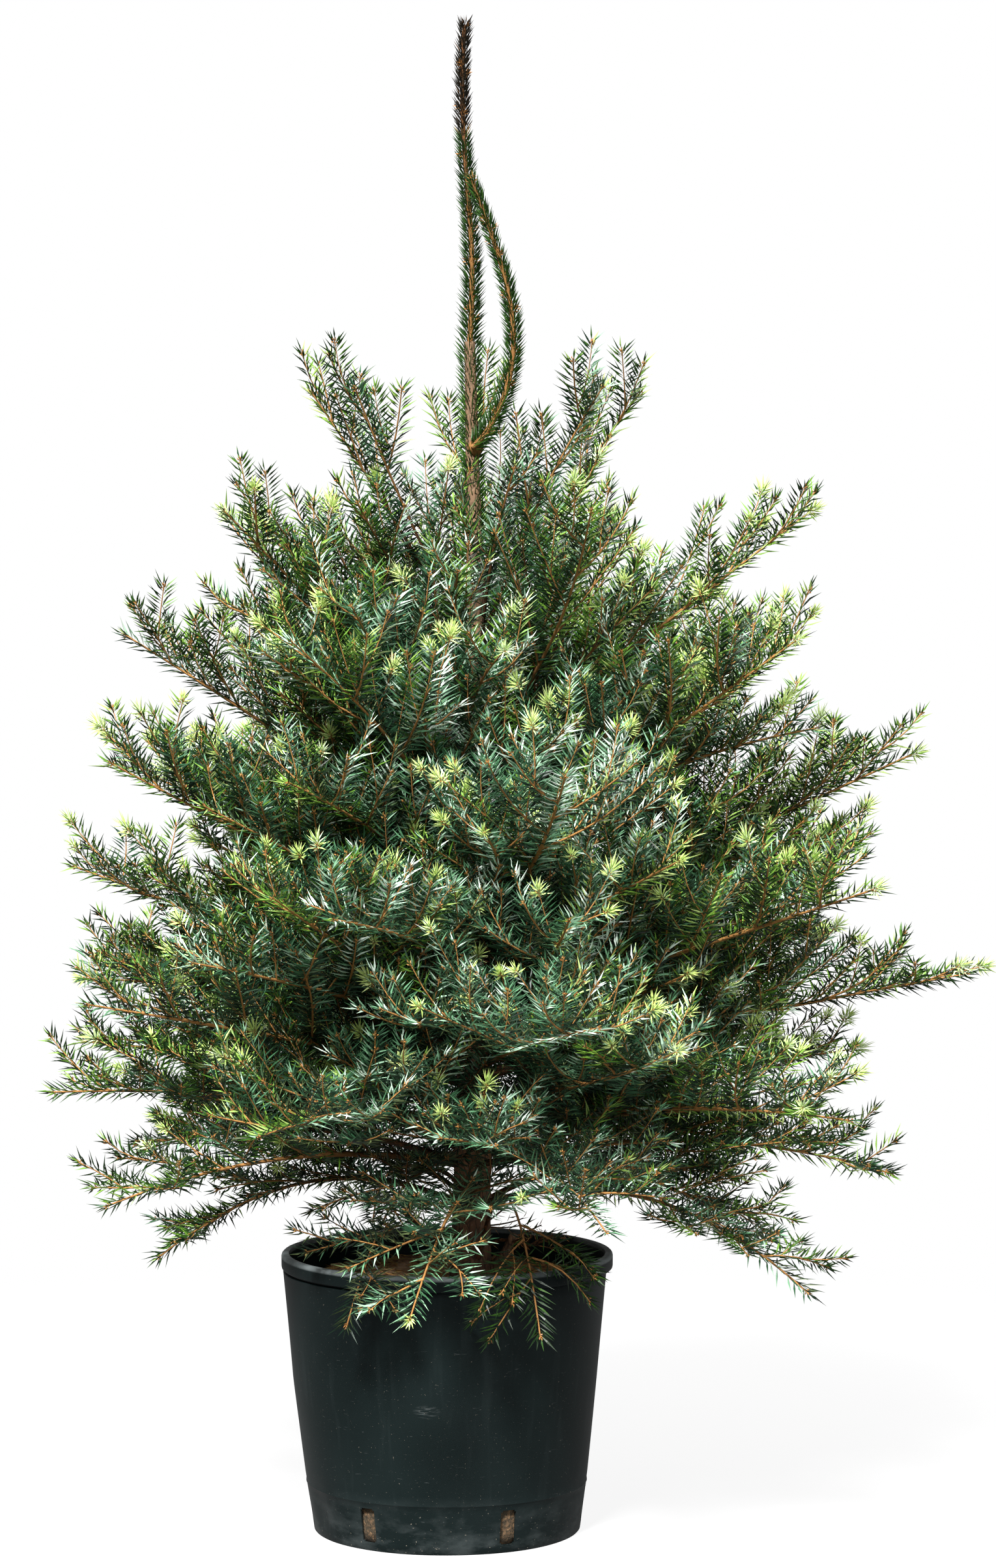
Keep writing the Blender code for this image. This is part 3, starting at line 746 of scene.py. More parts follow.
class Growth(Graph):
    """A Geometry Nodes tree with named inputs, applied to an object as a plain mesh."""

    def __init__(self, name, inputs):
        tree = bpy.data.node_groups.new(name, "GeometryNodeTree")
        super().__init__(tree)
        tree.interface.new_socket("Geometry", in_out="INPUT", socket_type="NodeSocketGeometry")
        self.keys = {}
        for label, kind, value in inputs:
            made = tree.interface.new_socket(label, in_out="INPUT", socket_type=kind)
            if value is not None:
                made.default_value = value
            self.keys[label] = made.identifier
        tree.interface.new_socket("Geometry", in_out="OUTPUT", socket_type="NodeSocketGeometry")
        self.entry = self.node("NodeGroupInput")

    def __getitem__(self, label):
        return self.entry[label]

    def attribute(self, name, kind="FLOAT"):
        return self.node("GeometryNodeInputNamedAttribute", {"Name": name}, data_type=kind)

    def chance(self, low, high, salt):
        """A random number for each element, from the tree's seed and a salt of its own."""
        values = {2: low, 3: high, "Seed": self["Seed"] + salt}
        return self.node("FunctionNodeRandomValue", values, 1, data_type="FLOAT")

    def store(self, geometry, name, value, kind, domain):
        values = {"Geometry": geometry, "Name": name, "Value": value}
        return self.node("GeometryNodeStoreNamedAttribute", values, data_type=kind, domain=domain)

    def mapped(self, needles, shade):
        """Real needles from instances, with a map: u along the needle, v its shade and some of its edge."""
        needles = self.store(needles, "shade", shade, "FLOAT", "INSTANCE")
        needles = self.node("GeometryNodeRealizeInstances", {0: needles})
        band = self.attribute("shade") * 0.97 + self.attribute("edge") * 0.02 + 0.005
        spot = self.node("ShaderNodeCombineXYZ", {0: self.attribute("along") * 0.98 + 0.01, 1: band})
        return self.store(needles, "OFBake", spot, "FLOAT2", "CORNER")

    def finish(self, geometry):
        values = {"Geometry": geometry, "Material": self["Finish"]}
        self.node("NodeGroupOutput", {0: self.node("GeometryNodeSetMaterial", values)})
        return self

    def grow(self, obj, **inputs):
        """Runs the tree on an object and leaves the result as its plain mesh."""
        modifier = obj.modifiers.new("growth", "NODES")
        modifier.node_group = self.tree
        for label, value in inputs.items():
            modifier[self.keys[label.replace("_", " ")]] = value
        graph = bpy.context.evaluated_depsgraph_get()
        grown = obj.evaluated_get(graph)
        mesh = bpy.data.meshes.new_from_object(grown, preserve_all_data_layers=True, depsgraph=graph)
        obj.modifiers.remove(modifier)
        old = obj.data
        obj.data = mesh
        bpy.data.meshes.remove(old)
        for name in [a.name for a in mesh.attributes if a.name in SCRATCH_ATTRIBUTES]:
            mesh.attributes.remove(mesh.attributes[name])
        mesh.name = obj.name
        return obj


SCRATCH_ATTRIBUTES = ("heading", "thickness", "tone", "needle", "splay", "density", "along", "edge", "shade")


def stepped(tone, values):
    """The first value in the first band of tones, the next in the next, and so on."""
    total = values[0]
    for start, before, value in zip(BAND_STARTS, values, values[1:]):
        total = tone.math("GREATER_THAN", start) * (value - before) + total
    return total


def needles_growth():
    """Needles round every strand, each at the strand's splay and turned by the golden angle from the last,
    with its tone painted paler or darker by how it faces the lamp.
    """
    tree = Growth("needles_on_strands", (
        ("Needle", "NodeSocketObject", None),
        ("Spacing", "NodeSocketFloat", NEEDLE_SPACING),
        ("Width", "NodeSocketFloat", NEEDLE_WIDTH),
        ("Lift", "NodeSocketFloat", 0.25),
        ("Flatness", "NodeSocketFloat", 0.0),
        ("Tone Spread", "NodeSocketFloat", 0.05),
        ("Tone Slope", "NodeSocketFloat", 0.0),
        ("Seed", "NodeSocketInt", 1),
        ("Finish", "NodeSocketMaterial", None),
    ))
    curve = tree.node("GeometryNodeMeshToCurve", {0: tree["Geometry"]})
    fine = tree.node("GeometryNodeResampleCurve", {"Curve": curve, "Length": tree["Spacing"]}, mode="LENGTH")
    points = tree.node("GeometryNodeCurveToPoints", {"Curve": fine}, mode="EVALUATED")
    heading = tree.vector("NORMALIZE", tree.attribute("heading", "FLOAT_VECTOR"))
    side = tree.vector("NORMALIZE", tree.vector("CROSS_PRODUCT", heading, (0.013, 0.007, 1.0)))
    over = tree.vector("CROSS_PRODUCT", side, heading)
    turn = tree.node("GeometryNodeInputIndex") * GOLDEN_ANGLE + tree.chance(-0.2, 0.2, 1)
    row = turn.math("COSINE")
    aside = tree.node("ShaderNodeSeparateXYZ", {0: heading})["X"].math("ABSOLUTE")
    flat = 1.0 - tree["Flatness"] * (1.0 - aside * ROUND_ASIDE)
    parted = tree["Flatness"] * ROW_PARTING
    across = tree.scaled(side, row * (1.0 - parted) + row.math("SIGN") * parted)
    upwards = tree.scaled(over, turn.math("SINE") * flat + tree["Lift"])
    radial = tree.vector("NORMALIZE", tree.vector("ADD", across, upwards))
    facing = tree.vector("DOT_PRODUCT", radial, LIT_FROM, "Value")
    splay = tree.attribute("splay") + tree.chance(-0.11, 0.10, 2)
    ahead, aside = tree.scaled(heading, splay.math("COSINE")), tree.scaled(radial, splay.math("SINE"))
    values = {0: tree.vector("ADD", ahead, aside), 1: heading}
    rotation = tree.node("FunctionNodeAxesToRotation", values, primary_axis="Z", secondary_axis="X")
    length = tree.attribute("needle") * tree.chance(0.78, 1.12, 3)
    width = tree["Width"] * tree.chance(0.85, 1.15, 4)
    scale = tree.node("ShaderNodeCombineXYZ", {0: width, 1: width, 2: length})
    root = tree.scaled(radial, tree.attribute("thickness") * ROOT_SHARE)
    rooted = tree.node("GeometryNodeSetPosition", {"Geometry": points, "Offset": root})
    keep = tree.chance(0.0, 1.0, 5).math("LESS_THAN", tree.attribute("density"))
    shape = tree.node("GeometryNodeObjectInfo", {0: tree["Needle"]})["Geometry"]
    values = {"Points": rooted, "Selection": keep, "Instance": shape, "Rotation": rotation, "Scale": scale}
    needles = tree.node("GeometryNodeInstanceOnPoints", values)
    # Painted light and shade: needles that face LIT_FROM take paler tones, those turned away take darker
    # ones.
    lit = (facing - LIT_MIDDLE) * tree["Tone Slope"]
    tone = tree.attribute("tone")
    shade = tone + tree.chance(-1.0, 1.0, 6) * tree["Tone Spread"] + lit
    shade = shade.math("MAXIMUM", stepped(tone, BAND_LEAST)).math("MINIMUM", stepped(tone, BAND_MOST))
    return tree.finish(tree.mapped(needles, shade))


def wood_growth():
    """Round wood along every strand, as thick as the strand says."""
    tree = Growth("wood_on_strands", (
        ("Sides", "NodeSocketInt", 5),
        ("Finish", "NodeSocketMaterial", None),
    ))
    curve = tree.node("GeometryNodeMeshToCurve", {0: tree["Geometry"]})
    ring = tree.node("GeometryNodeCurvePrimitiveCircle", {"Resolution": tree["Sides"], "Radius": 1.0})
    values = {"Curve": curve, "Profile Curve": ring, "Scale": tree.attribute("thickness"), "Fill Caps": True}
    return tree.finish(tree.node("GeometryNodeCurveToMesh", values))


# ---------------------------------------------------------------- strands


class Strands:
    """Twigs as poly-lines, with a heading and the needles' values at every point."""

    KINDS = ("thickness", "tone", "needle", "splay", "density")

    def __init__(self):
        self.points = []
        self.headings = []
        self.edges = []
        self.values = {kind: [] for kind in self.KINDS}
        self.count = 0

    def add(self, path, thickness, tone=COOL_LOW, needle=NEEDLE_LENGTH, splay=NEEDLE_SPLAY, density=1.0):
        size = len(path)
        heading = np.gradient(path, axis=0)
        self.points.append(path)
        self.headings.append(heading / np.linalg.norm(heading, axis=1)[:, None])
        self.edges.extend((self.count + i, self.count + i + 1) for i in range(size - 1))
        given = {"thickness": thickness, "tone": tone, "needle": needle, "splay": splay, "density": density}
        for kind, value in given.items():
            self.values[kind].append(np.broadcast_to(np.asarray(value, float), size))
        self.count += size

    def object(self, name):
        mesh = bpy.data.meshes.new(name)
        mesh.from_pydata(np.concatenate(self.points).tolist(), self.edges, [])
        heading = mesh.attributes.new("heading", "FLOAT_VECTOR", "POINT")
        heading.data.foreach_set("vector", np.concatenate(self.headings).ravel())
        for kind, parts in self.values.items():
            stored = mesh.attributes.new(kind, "FLOAT", "POINT")
            stored.data.foreach_set("value", np.concatenate(parts))
        return add_object(name, mesh)


def add_object(name, mesh):
    """Links a new object, at the origin."""
    made = bpy.data.objects.new(name, mesh)
    bpy.context.scene.collection.objects.link(made)
    return made


def built(name, mesh, finish=None, smooth=False):
    """An object from a bmesh, which is used up."""
    data = bpy.data.meshes.new(name)
    mesh.to_mesh(data)
    mesh.free()
    if smooth:
        smoothed(data)
    if finish:
        data.materials.append(finish)
    return add_object(name, data)


def smoothed(mesh):
    """Shades every face of a mesh smooth, and returns the mesh."""
    mesh.polygons.foreach_set("use_smooth", [True] * len(mesh.polygons))


def settle(piece, slot, *nodes):
    """Every finished piece rides on the one body and stands for its CAD nodes. The slot is not used."""
    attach(piece, "root")
    if nodes:
        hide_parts(*nodes)
    return piece


def needle_shape():
    """One needle: a slim closed sliver with a keel, 1 long along +Z and 1.6 wide, pointed at both ends."""
    points = [(0.0, 0.40, 0.0), (-0.80, -0.75, 0.38), (0.80, -0.75, 0.38), (0.0, 0.40, 1.0)]
    faces = [(0, 2, 1), (3, 1, 2), (0, 1, 3), (0, 3, 2)]
    mesh = bpy.data.meshes.new("needle_shape")
    mesh.from_pydata(points, [], faces)
    for name, values in (("along", (0.0, 0.38, 0.38, 1.0)), ("edge", (0.5, 1.0, 0.0, 0.5))):
        stored = mesh.attributes.new(name, "FLOAT", "POINT")
        stored.data.foreach_set("value", values)
    shape = add_object("needle_shape", mesh)
    shape.hide_render = True
    shape.hide_viewport = True
    return shape


class Kit:
    """What clothes every strand: the two node trees, their finishes and the shape of one needle."""

    def __init__(self):
        self.needle_finish, self.twig_finish = needle_finish(), twig_finish()
        self.needle_tree, self.wood_tree = needles_growth(), wood_growth()
        self.shape = needle_shape()

    def wood(self, strands, name, sides, *nodes):
        wood = self.wood_tree.grow(strands.object(name), Sides=sides, Finish=self.twig_finish)
        settle(wood, "bark", *nodes)

    def needles(self, strands, name, spacing, width, spread, seed, *nodes, lift=0.0, flatness=0.0, slope=0.0):
        """Needles round the strands. Their tones differ by the spread, and by the slope with painted light
        and shade from how they face the lamp.
        """
        green = self.needle_tree.grow(strands.object(name), Needle=self.shape, Spacing=spacing, Width=width,
                                      Lift=lift, Flatness=flatness, Tone_Spread=spread, Tone_Slope=slope,
                                      Seed=seed, Finish=self.needle_finish)
        settle(green, "needles", *nodes)


# ---------------------------------------------------------------- crown


def filler_specs():
    """Small branches all the way up between the tiers, which close the crown."""
    heights, rises, tips, reaches = np.array((*TIERS, (0.85, 0.06, 0.08, 0.10, 0.0, 0.3)))[:, :4].T
    for index in range(FILLERS):
        share = 0.13 + 0.54 * (index + 0.5) / FILLERS
        dice = random.Random(5000 + index)
        reach = np.interp(share, heights, reaches) * dice.uniform(0.55, 0.95)
        rise = np.interp(share, heights, rises) * 0.7 + dice.uniform(-0.01, 0.03)
        tip = np.interp(share, heights, tips) * 0.6 + dice.uniform(-0.01, 0.05)
        tier = int(np.searchsorted(heights, share))
        yield dict(name=f"filler_{index}", height=share * TRUNK_LENGTH, rise=rise * TRUNK_LENGTH,
                   tip=tip * TRUNK_LENGTH, reach=reach * TRUNK_LENGTH, direction=index * 137.508,
                   bend=np.interp(share, heights[:-1], np.array(TIERS)[:, 5]), bare=0.12, shoots=5,
                   sway=dice.uniform(-LIMB_SWAY, LIMB_SWAY), dice=dice, tier=max(1, min(9, tier)))


def needle_tone(point, reach, dice):
    """A shoot's tone from its place, with painted light and shade: paler as if lit outside, in front and
    higher up, darker as if shaded inside, at the sides, low down (most on the lower left) and near the top;
    bluish in front, yellower at the sides.
    """
    x, y, z = point
    aside = min(1.0, abs(x - TRUNK_OFFSET) / 0.45)
    front = min(1.0, max(0.0, 0.5 - y / 0.6))
    top = min(1.0, (z - SOIL_TOP) / 1.0)
    outer = min(1.0, math.hypot(x - TRUNK_OFFSET, y) / max(0.12, reach))
    light = LIGHT_OUTER * outer**1.5 + LIGHT_FRONT * front * outer + LIGHT_TOP * top - LIGHT_ASIDE * aside
    light += dice.uniform(-LIGHT_CHANCE, LIGHT_CHANCE)
    low = max(0.0, 1.0 - (z - SOIL_TOP) / LOW_CROWN)
    high = min(1.0, max(0.0, (z - SOIL_TOP - HIGH_CROWN) / LOW_CROWN))
    light -= LIGHT_HIGH * high
    light = min(1.0, max(0.0, light - low * (LIGHT_LOW + LIGHT_LOW_LEFT * max(0.0, -x - 0.05))))
    warm = WARM_SHARE + WARM_ASIDE * aside - WARM_FRONT * front + WARM_TOP * high - WARM_BOTTOM * low
    if dice.random() < warm:
        return WARM_LOW + (WARM_HIGH - WARM_LOW) * light
    return COOL_LOW + (COOL_HIGH - COOL_LOW) * light


def deepened(tone, shares):
    """A strand's tones: darker towards its foot, where other twigs shade it."""
    floor = WARM_SHADE if tone < WARM_HIGH + 0.05 else COOL_SHADE
    return np.where(tone < floor, tone, floor + (tone - floor) * (0.16 + 0.84 * shares))


def clear_of_pot(path):
    """Whether a path keeps off the soil, the pot's wall and its rim."""
    radius = np.hypot(path[:, 0], path[:, 1])
    floor = np.where(radius < POT_NECK_RADIUS - 0.010, SOIL_TOP + 0.010, POT_HEIGHT + 0.008)
    return bool(((path[:, 2] > floor) | (radius > RIM_RADIUS + 0.006)).all())


class Dress:
    """The strands of one tier: its twigs with their needles, its tufts of new needles, and its buds."""

    def __init__(self):
        self.twigs = Strands()
        self.tufts = Strands()
        self.buds = Strands()
        self.nodes = []

    def sprig(self, base, heading, length, bend, radius, limb, dice):
        """One needled shoot. It is left out where it would run into the pot."""
        count = max(4, int(length / 0.014))
        shares = np.linspace(0.0, 1.0, count)
        wobble = np.array([dice.uniform(-1, 1) for _ in range(3)]) * 0.055 * length
        path = shoot_path(base, heading, length, bend, count) + wobble * np.sin(math.pi * shares)[:, None]
        if not clear_of_pot(path):
            return None
        tone = limb["tone"] if "tone" in limb else needle_tone(path[-1], limb["reach"], dice)
        needle = NEEDLE_LENGTH * (0.80 + 0.24 * np.sin(math.pi * np.minimum(1.0, shares + 0.15)))
        splay = NEEDLE_SPLAY * (1.05 - 0.40 * shares**2)
        density = np.clip(limb.get("density", 1.0) * (0.80 + 1.6 * shares), 0.0, 1.0)
        self.twigs.add(path, radius * (1.0 - 0.45 * shares), deepened(tone, shares), needle, splay, density)
        return path

    def tip(self, path, limb, dice, fresh=1.0):
        """What ends a shoot: a tuft of new needles in bud scales, or a brush of old ones, and a bud."""
        end = path[-1]
        heading = path[-1] - path[-2]
        heading /= np.linalg.norm(heading)
        outer = math.hypot(end[0] - TRUNK_OFFSET, end[1]) / limb["reach"]
        shares = np.linspace(0.0, 1.0, 5)
        splay = np.radians(92.0 - 80.0 * shares)
        height = min(1.0, max(0.12, (end[2] - 0.44) / 0.22)) * (0.6 if limb["tier"] >= SPARSE_FROM else 1.0)
        if outer > 0.5 and dice.random() < TUFT_SHARE * height * fresh * limb.get("fresh", 1.0):
            size = dice.uniform(0.80, 1.45)
            axis = end - heading * 0.002 + heading * 0.008 * size * shares[:, None]
            needle = TUFT_NEEDLE * size * (0.78 + 0.30 * shares)
            pale = dice.random() * max(0.25, 1.15 - 2.2 * abs(end[0] - TRUNK_OFFSET))
            self.tufts.add(axis, 0.0007, LIME + (FRESH - LIME) * pale, needle, splay, 1.0)
        else:
            tone = limb["tone"] if "tone" in limb else needle_tone(end, limb["reach"], dice)
            axis = end - heading * 0.005 + heading * 0.008 * shares[:, None]
            self.twigs.add(axis, 0.0009, tone, NEEDLE_LENGTH * 0.62, splay * 0.6, 1.0)
        axis = end - heading * 0.002 + heading * 0.0042 * shares[:, None]
        self.buds.add(axis, 0.0012, dice.uniform(DRY - 0.02, DRY + 0.01), 0.0046, splay * 0.75, 1.0)

    def children(self, path, length, limb, dice, pitch, share, sizes, span, lift=0.0, fresh=1.0):
        """Small shoots along the span of a path, left and right in turn, each with its own end."""
        least, most = sizes
        start, stop = span
        count = int(length * (stop - start) / pitch + 0.5)
        hand = dice.choice((-1, 1))
        made = []
        for index in range(count):
            place = start + (stop - start) * (index + dice.uniform(0.2, 0.8)) / count
            at = min(len(path) - 2, max(1, int(place * (len(path) - 1))))
            along = path[at + 1] - path[at - 1]
            along /= np.linalg.norm(along)
            side = np.cross(along, UP)
            side *= hand / max(1e-6, np.linalg.norm(side))
            hand = -hand
            roll = math.radians(dice.uniform(-26.0, 44.0))
            angle = math.radians(dice.uniform(28.0, 48.0))
            out = side * math.cos(roll) + UP * math.sin(roll)
            heading = along * math.cos(angle) + out * math.sin(angle)
            heading = heading + UP * lift * dice.uniform(0.55, 1.25)
            heading /= np.linalg.norm(heading)
            size = min(most, max(least, share * length * (1.0 - 0.85 * place) * dice.uniform(0.75, 1.2)))
            sprig = self.sprig(path[at], heading, size, limb["bend"] + 0.08, 0.00100, limb, dice)
            if sprig is not None:
                self.tip(sprig, limb, dice, fresh)
                made.append((sprig, size))
        return made

    def limb(self, limb, shoots, dice):
        """Everything that grows on one limb: its own needles, its shoots, and the small shoots on those."""
        reach = limb["reach"]
        shares = np.linspace(0.0, 1.0, 26)
        path = limb_path(limb["fitted"], limb["azimuth"], shares)
        radius = 0.0011 + 0.0034 * (1.0 - shares) ** 1.3 * min(1.0, reach / 0.45)
        tone = limb["tone"] if "tone" in limb else needle_tone(path[20], reach, dice)
        density = np.clip((shares - limb["bare"]) * 3.0, 0.0, 1.0)
        splay = NEEDLE_SPLAY * (1.05 - 0.40 * shares**2)
        self.twigs.add(path, radius, deepened(tone, shares**1.5), NEEDLE_LENGTH, splay, density)
        self.tip(path, limb, dice)
        across = abs(math.sin(limb["azimuth"])) ** 1.5
        sparse = limb["tier"] >= SPARSE_FROM
        for shoot in shoots:
            length = shoot["length"]
            main = self.sprig(shoot["base"], shoot["heading"], length, limb["bend"], 0.0014, limb, dice)
            if main is None:
                continue
            self.tip(main, limb, dice)
            lift = max(0.0, 0.45 + 1.6 * limb["bend"]) * (0.15 + 0.85 * across)
            pitch, share = (0.085, 0.80) if sparse else (0.036, 0.84 if limb["tier"] else 0.50)
            made = self.children(main, length, limb, dice, pitch, share, (0.055, 0.145), (0.14, 0.84), lift)
            for sprig, size in made:
                if size > 0.105 and not sparse:
                    sizes, span = (0.038, 0.062), (0.25, 0.8)
                    self.children(sprig, size, limb, dice, 0.044, 0.50, sizes, span, lift, 0.3)
        pitch, span = 0.090 if sparse else 0.036, (limb["bare"] + 0.04, 0.86)
        self.children(path, reach, limb, dice, pitch, 0.32, (0.060, 0.145), span, 0.15 + 0.75 * across)


def filler_limb(spec, dress):
    """A branch that only the finished tree has, with shoots that start evenly along it."""
    dice = spec["dice"]
    limb = {**spec, "fitted": spec, "azimuth": math.radians(spec["direction"])}
    shares = np.linspace(0.0, 1.0, 26)
    path = limb_path(spec, limb["azimuth"], shares)
    if not clear_of_pot(path[3:]):
        return
    shoots = []
    for index, station in enumerate(np.linspace(0.22, 0.88, max(3, int(spec["reach"] / 0.045)))):
        at = max(1, int(station * 25))
        along = path[at + 1] - path[at - 1]
        heading = shoot_heading(along / np.linalg.norm(along), 1 if index % 2 else -1, dice)
        length = 0.035 + 0.40 * spec["reach"] * (1.0 - station) * dice.uniform(0.85, 1.15)
        shoots.append({"base": path[at], "heading": heading, "length": length})
    dress.limb(limb, shoots, dice)


def settle_dress(dress, label, seed, kit):
    """Turns one tier's strands into its wood, needles, tufts and buds."""
    # Painted light and shade on the needles by their facing; the drooping branches get a weaker slope.
    slope = TONE_SLOPE if seed else DROOPING_TONE_SLOPE
    kit.wood(dress.twigs, f"twigs_{label}", TWIG_SIDES)
    kit.needles(dress.twigs, f"needles_{label}", NEEDLE_SPACING, NEEDLE_WIDTH, TONE_SPREAD, seed,
                *dress.nodes, lift=NEEDLE_LIFT, flatness=NEEDLE_FLATNESS, slope=slope)
    for kind, strands, spacing, width in (
        ("tufts", dress.tufts, TUFT_SPACING, TUFT_WIDTH),
        ("buds", dress.buds, BUD_SPACING, BUD_WIDTH),
    ):
        if strands.count:
            kit.needles(strands, f"{kind}_{label}", spacing, width, NEW_TONE_SPREAD, seed)


def grow_crown(kit):
    """Every limb with all that grows on it, and small branches between the tiers. It returns the limbs."""
    crown = Crown()
    take_leaders(crown)
    limbs = grow_limbs(crown)
    dresses = {}
    for limb in limbs:
        shoots = grow_shoots(limb, crown)
        if not limb["shoots"]:
            continue
        limb.update(DROOPING_LOOKS.get(limb["name"], {}))
        dress = dresses.setdefault(limb["tier"], Dress())
        dress.limb(limb, shoots, random.Random(limb["name"]))
        dress.nodes.append(limb["name"])
    for spec in filler_specs():
        filler_limb(spec, dresses[spec["tier"]])
    for tier, dress in dresses.items():
        settle_dress(dress, f"tier_{tier}" if tier else "drooping", tier, kit)
    return limbs


def dress_leaders(kit):
    """The two leaders: needles laid along brown wood, charred at the leader's top, and buds up the sides."""
    dice = random.Random(77)
    shares = np.linspace(0.0, 1.0, 40)
    charred = np.where(shares > LEADER_CHARRED_FROM, CHARRED - 0.03, WARM_LOW + 0.03 - 0.03 * shares)
    side_path = side_leader_path(shares) - RIGHT * 0.010 * np.sin(math.pi * shares)[:, None]
    for name, path, radii, tone, end_tone in (
        ("leader", leader_path(shares), (0.0036, 0.0026), charred, CHARRED + 0.02),
        ("side_leader", side_path, (0.0034, 0.0026), WARM_LOW + 0.05 - 0.02 * shares, DRY),
    ):
        strands, buds = Strands(), Strands()
        radius = radii[0] + (radii[1] - radii[0]) * shares
        splay = np.radians(47.0 - 17.0 * shares)
        strands.add(path, radius, tone, 0.0210 - 0.005 * shares, splay, 1.0 - 0.25 * shares)
        for index in range(LEADER_BUDS):
            place = 0.04 + 0.94 * (index + dice.random()) / LEADER_BUDS
            at = min(38, int(place * 39))
            along = path[at + 1] - path[at]
            along /= np.linalg.norm(along)
            turn = index * 2.4
            out = RIGHT * math.cos(turn) + FRONT * math.sin(turn)
            start = path[at] + out * radius[at] * 0.6
            axis = start + (out * 0.8 + along * 0.5) * 0.006 * np.linspace(0.0, 1.0, 4)[:, None]
            buds.add(axis, 0.0016, DRY - 0.015, 0.0064, np.radians([60.0, 45.0, 30.0, 10.0]), 1.0)
        end = path[-1]
        along = (path[-1] - path[-2]) / np.linalg.norm(path[-1] - path[-2])
        axis = end - along * 0.003 + along * 0.007 * np.linspace(0.0, 1.0, 5)[:, None]
        buds.add(axis, 0.003, end_tone, 0.0065, np.radians([70.0, 60.0, 45.0, 30.0, 8.0]), 1.0)
        kit.wood(strands, f"{name}_wood", 10)
        kit.needles(strands, f"{name}_needles", 0.00036, 0.00108, 0.045, 41, name)
        kit.needles(buds, f"{name}_buds", 0.0005, 0.0010, 0.015, 42)


# ---------------------------------------------------------------- trunk


def swept(name, centres, radii, sides, finish, roughen):
    """A closed tube whose skin is moved in or out by roughen(point, angle)."""
    rings = []
    centres = np.asarray(centres)
    along = np.gradient(centres, axis=0)
    along /= np.linalg.norm(along, axis=1)[:, None]
    mesh = bmesh.new()
    for centre, radius, way in zip(centres, radii, along):
        across = np.cross(way, FRONT + 0.01 * RIGHT + 0.3 * UP)
        across /= np.linalg.norm(across)
        over = np.cross(way, across)
        ring = []
        for turn in range(sides):
            angle = 2.0 * math.pi * turn / sides
            out = across * math.cos(angle) + over * math.sin(angle)
            point = centre + out * radius
            ring.append(mesh.verts.new(point + out * roughen(point, angle)))
        rings.append(ring)
    for lower, upper in zip(rings[:-1], rings[1:]):
        for turn in range(sides):
            after = (turn + 1) % sides
            mesh.faces.new((lower[turn], lower[after], upper[after], upper[turn]))
    for ring, centre in ((rings[0], centres[0]), (rings[-1], centres[-1])):
        hub = mesh.verts.new(centre)
        for turn in range(sides):
            mesh.faces.new((ring[turn], ring[(turn + 1) % sides], hub))
    bmesh.ops.recalc_face_normals(mesh, faces=mesh.faces)
    return built(name, mesh, finish, smooth=True)


def bark_bumps(point, angle):
    """Ridges and flakes of young spruce bark, with swellings below each tier."""
    place = Vector(point)
    flake = Vector((place.x * 240, place.y * 240, place.z * 110))
    bump = 0.0010 * noise.noise(place * 90.0) + 0.0006 * noise.noise(flake)
    height = point[2] - SOIL_TOP
    for tier in TIERS:
        near = (height - tier[0] * TRUNK_LENGTH) / 0.012
        bump += 0.0014 * math.exp(-near * near) * (1.0 + 0.5 * math.sin(5.0 * angle))
    flare = 0.006 * max(0.0, 1.0 - max(0.0, height) / 0.05) ** 2
    return bump + flare * (0.6 + 0.5 * math.sin(3.0 * angle + 1.0))


def make_trunk(kit, bark):
    """The trunk's bark and top needles, the cut stub at its foot, and the knob under the side leader."""
    heights = np.linspace(-COLLAR_DEPTH * 0.4, TRUNK_LENGTH + 0.004, 300)
    centres = [trunk_centre(h) for h in heights]
    for centre, height in zip(centres, heights):
        centre[2] = SOIL_TOP + height
    radii = [trunk_radius(h) for h in heights]
    settle(swept("trunk_bark", centres, radii, 32, bark, bark_bumps), "bark", "trunk")
    bend = np.linspace(0.0, 1.0, 12)[:, None]
    stub = trunk_centre(0.012) + RIGHT * 0.052 * bend**0.8 + FRONT * 0.020 * bend + UP * 0.046 * bend**2.2
    settle(swept("cut_stub", stub, np.linspace(0.0070, 0.0048, 12), 14, bark,
                 lambda point, angle: 0.0007 * noise.noise(Vector(point) * 300.0)), "bark")
    lump = np.linspace(0.0, 1.0, 9)
    knob = trunk_centre(TRUNK_LENGTH - SIDE_LEADER_DROP) + FRONT * 0.007
    centres = knob - UP * 0.010 + UP * 0.020 * lump[:, None] + RIGHT * 0.004
    radii = 0.001 + 0.0085 * np.sin(math.pi * (0.04 + 0.92 * lump))
    settle(swept("side_leader_knob", centres, radii, 16, kit.twig_finish,
                 lambda point, angle: 0.0016 * noise.noise(Vector(point) * 420.0)), "bark")
    strands = Strands()
    shares = np.linspace(0.0, 1.0, 12)
    top = np.array([trunk_centre(TRUNK_LENGTH * (0.80 + 0.20 * s)) for s in shares])
    strands.add(top, 0.0072, WARM_LOW + 0.05, 0.0200, math.radians(42.0), 0.9)
    kit.needles(strands, "trunk_top_needles", 0.00042, 0.0011, 0.05, 51)


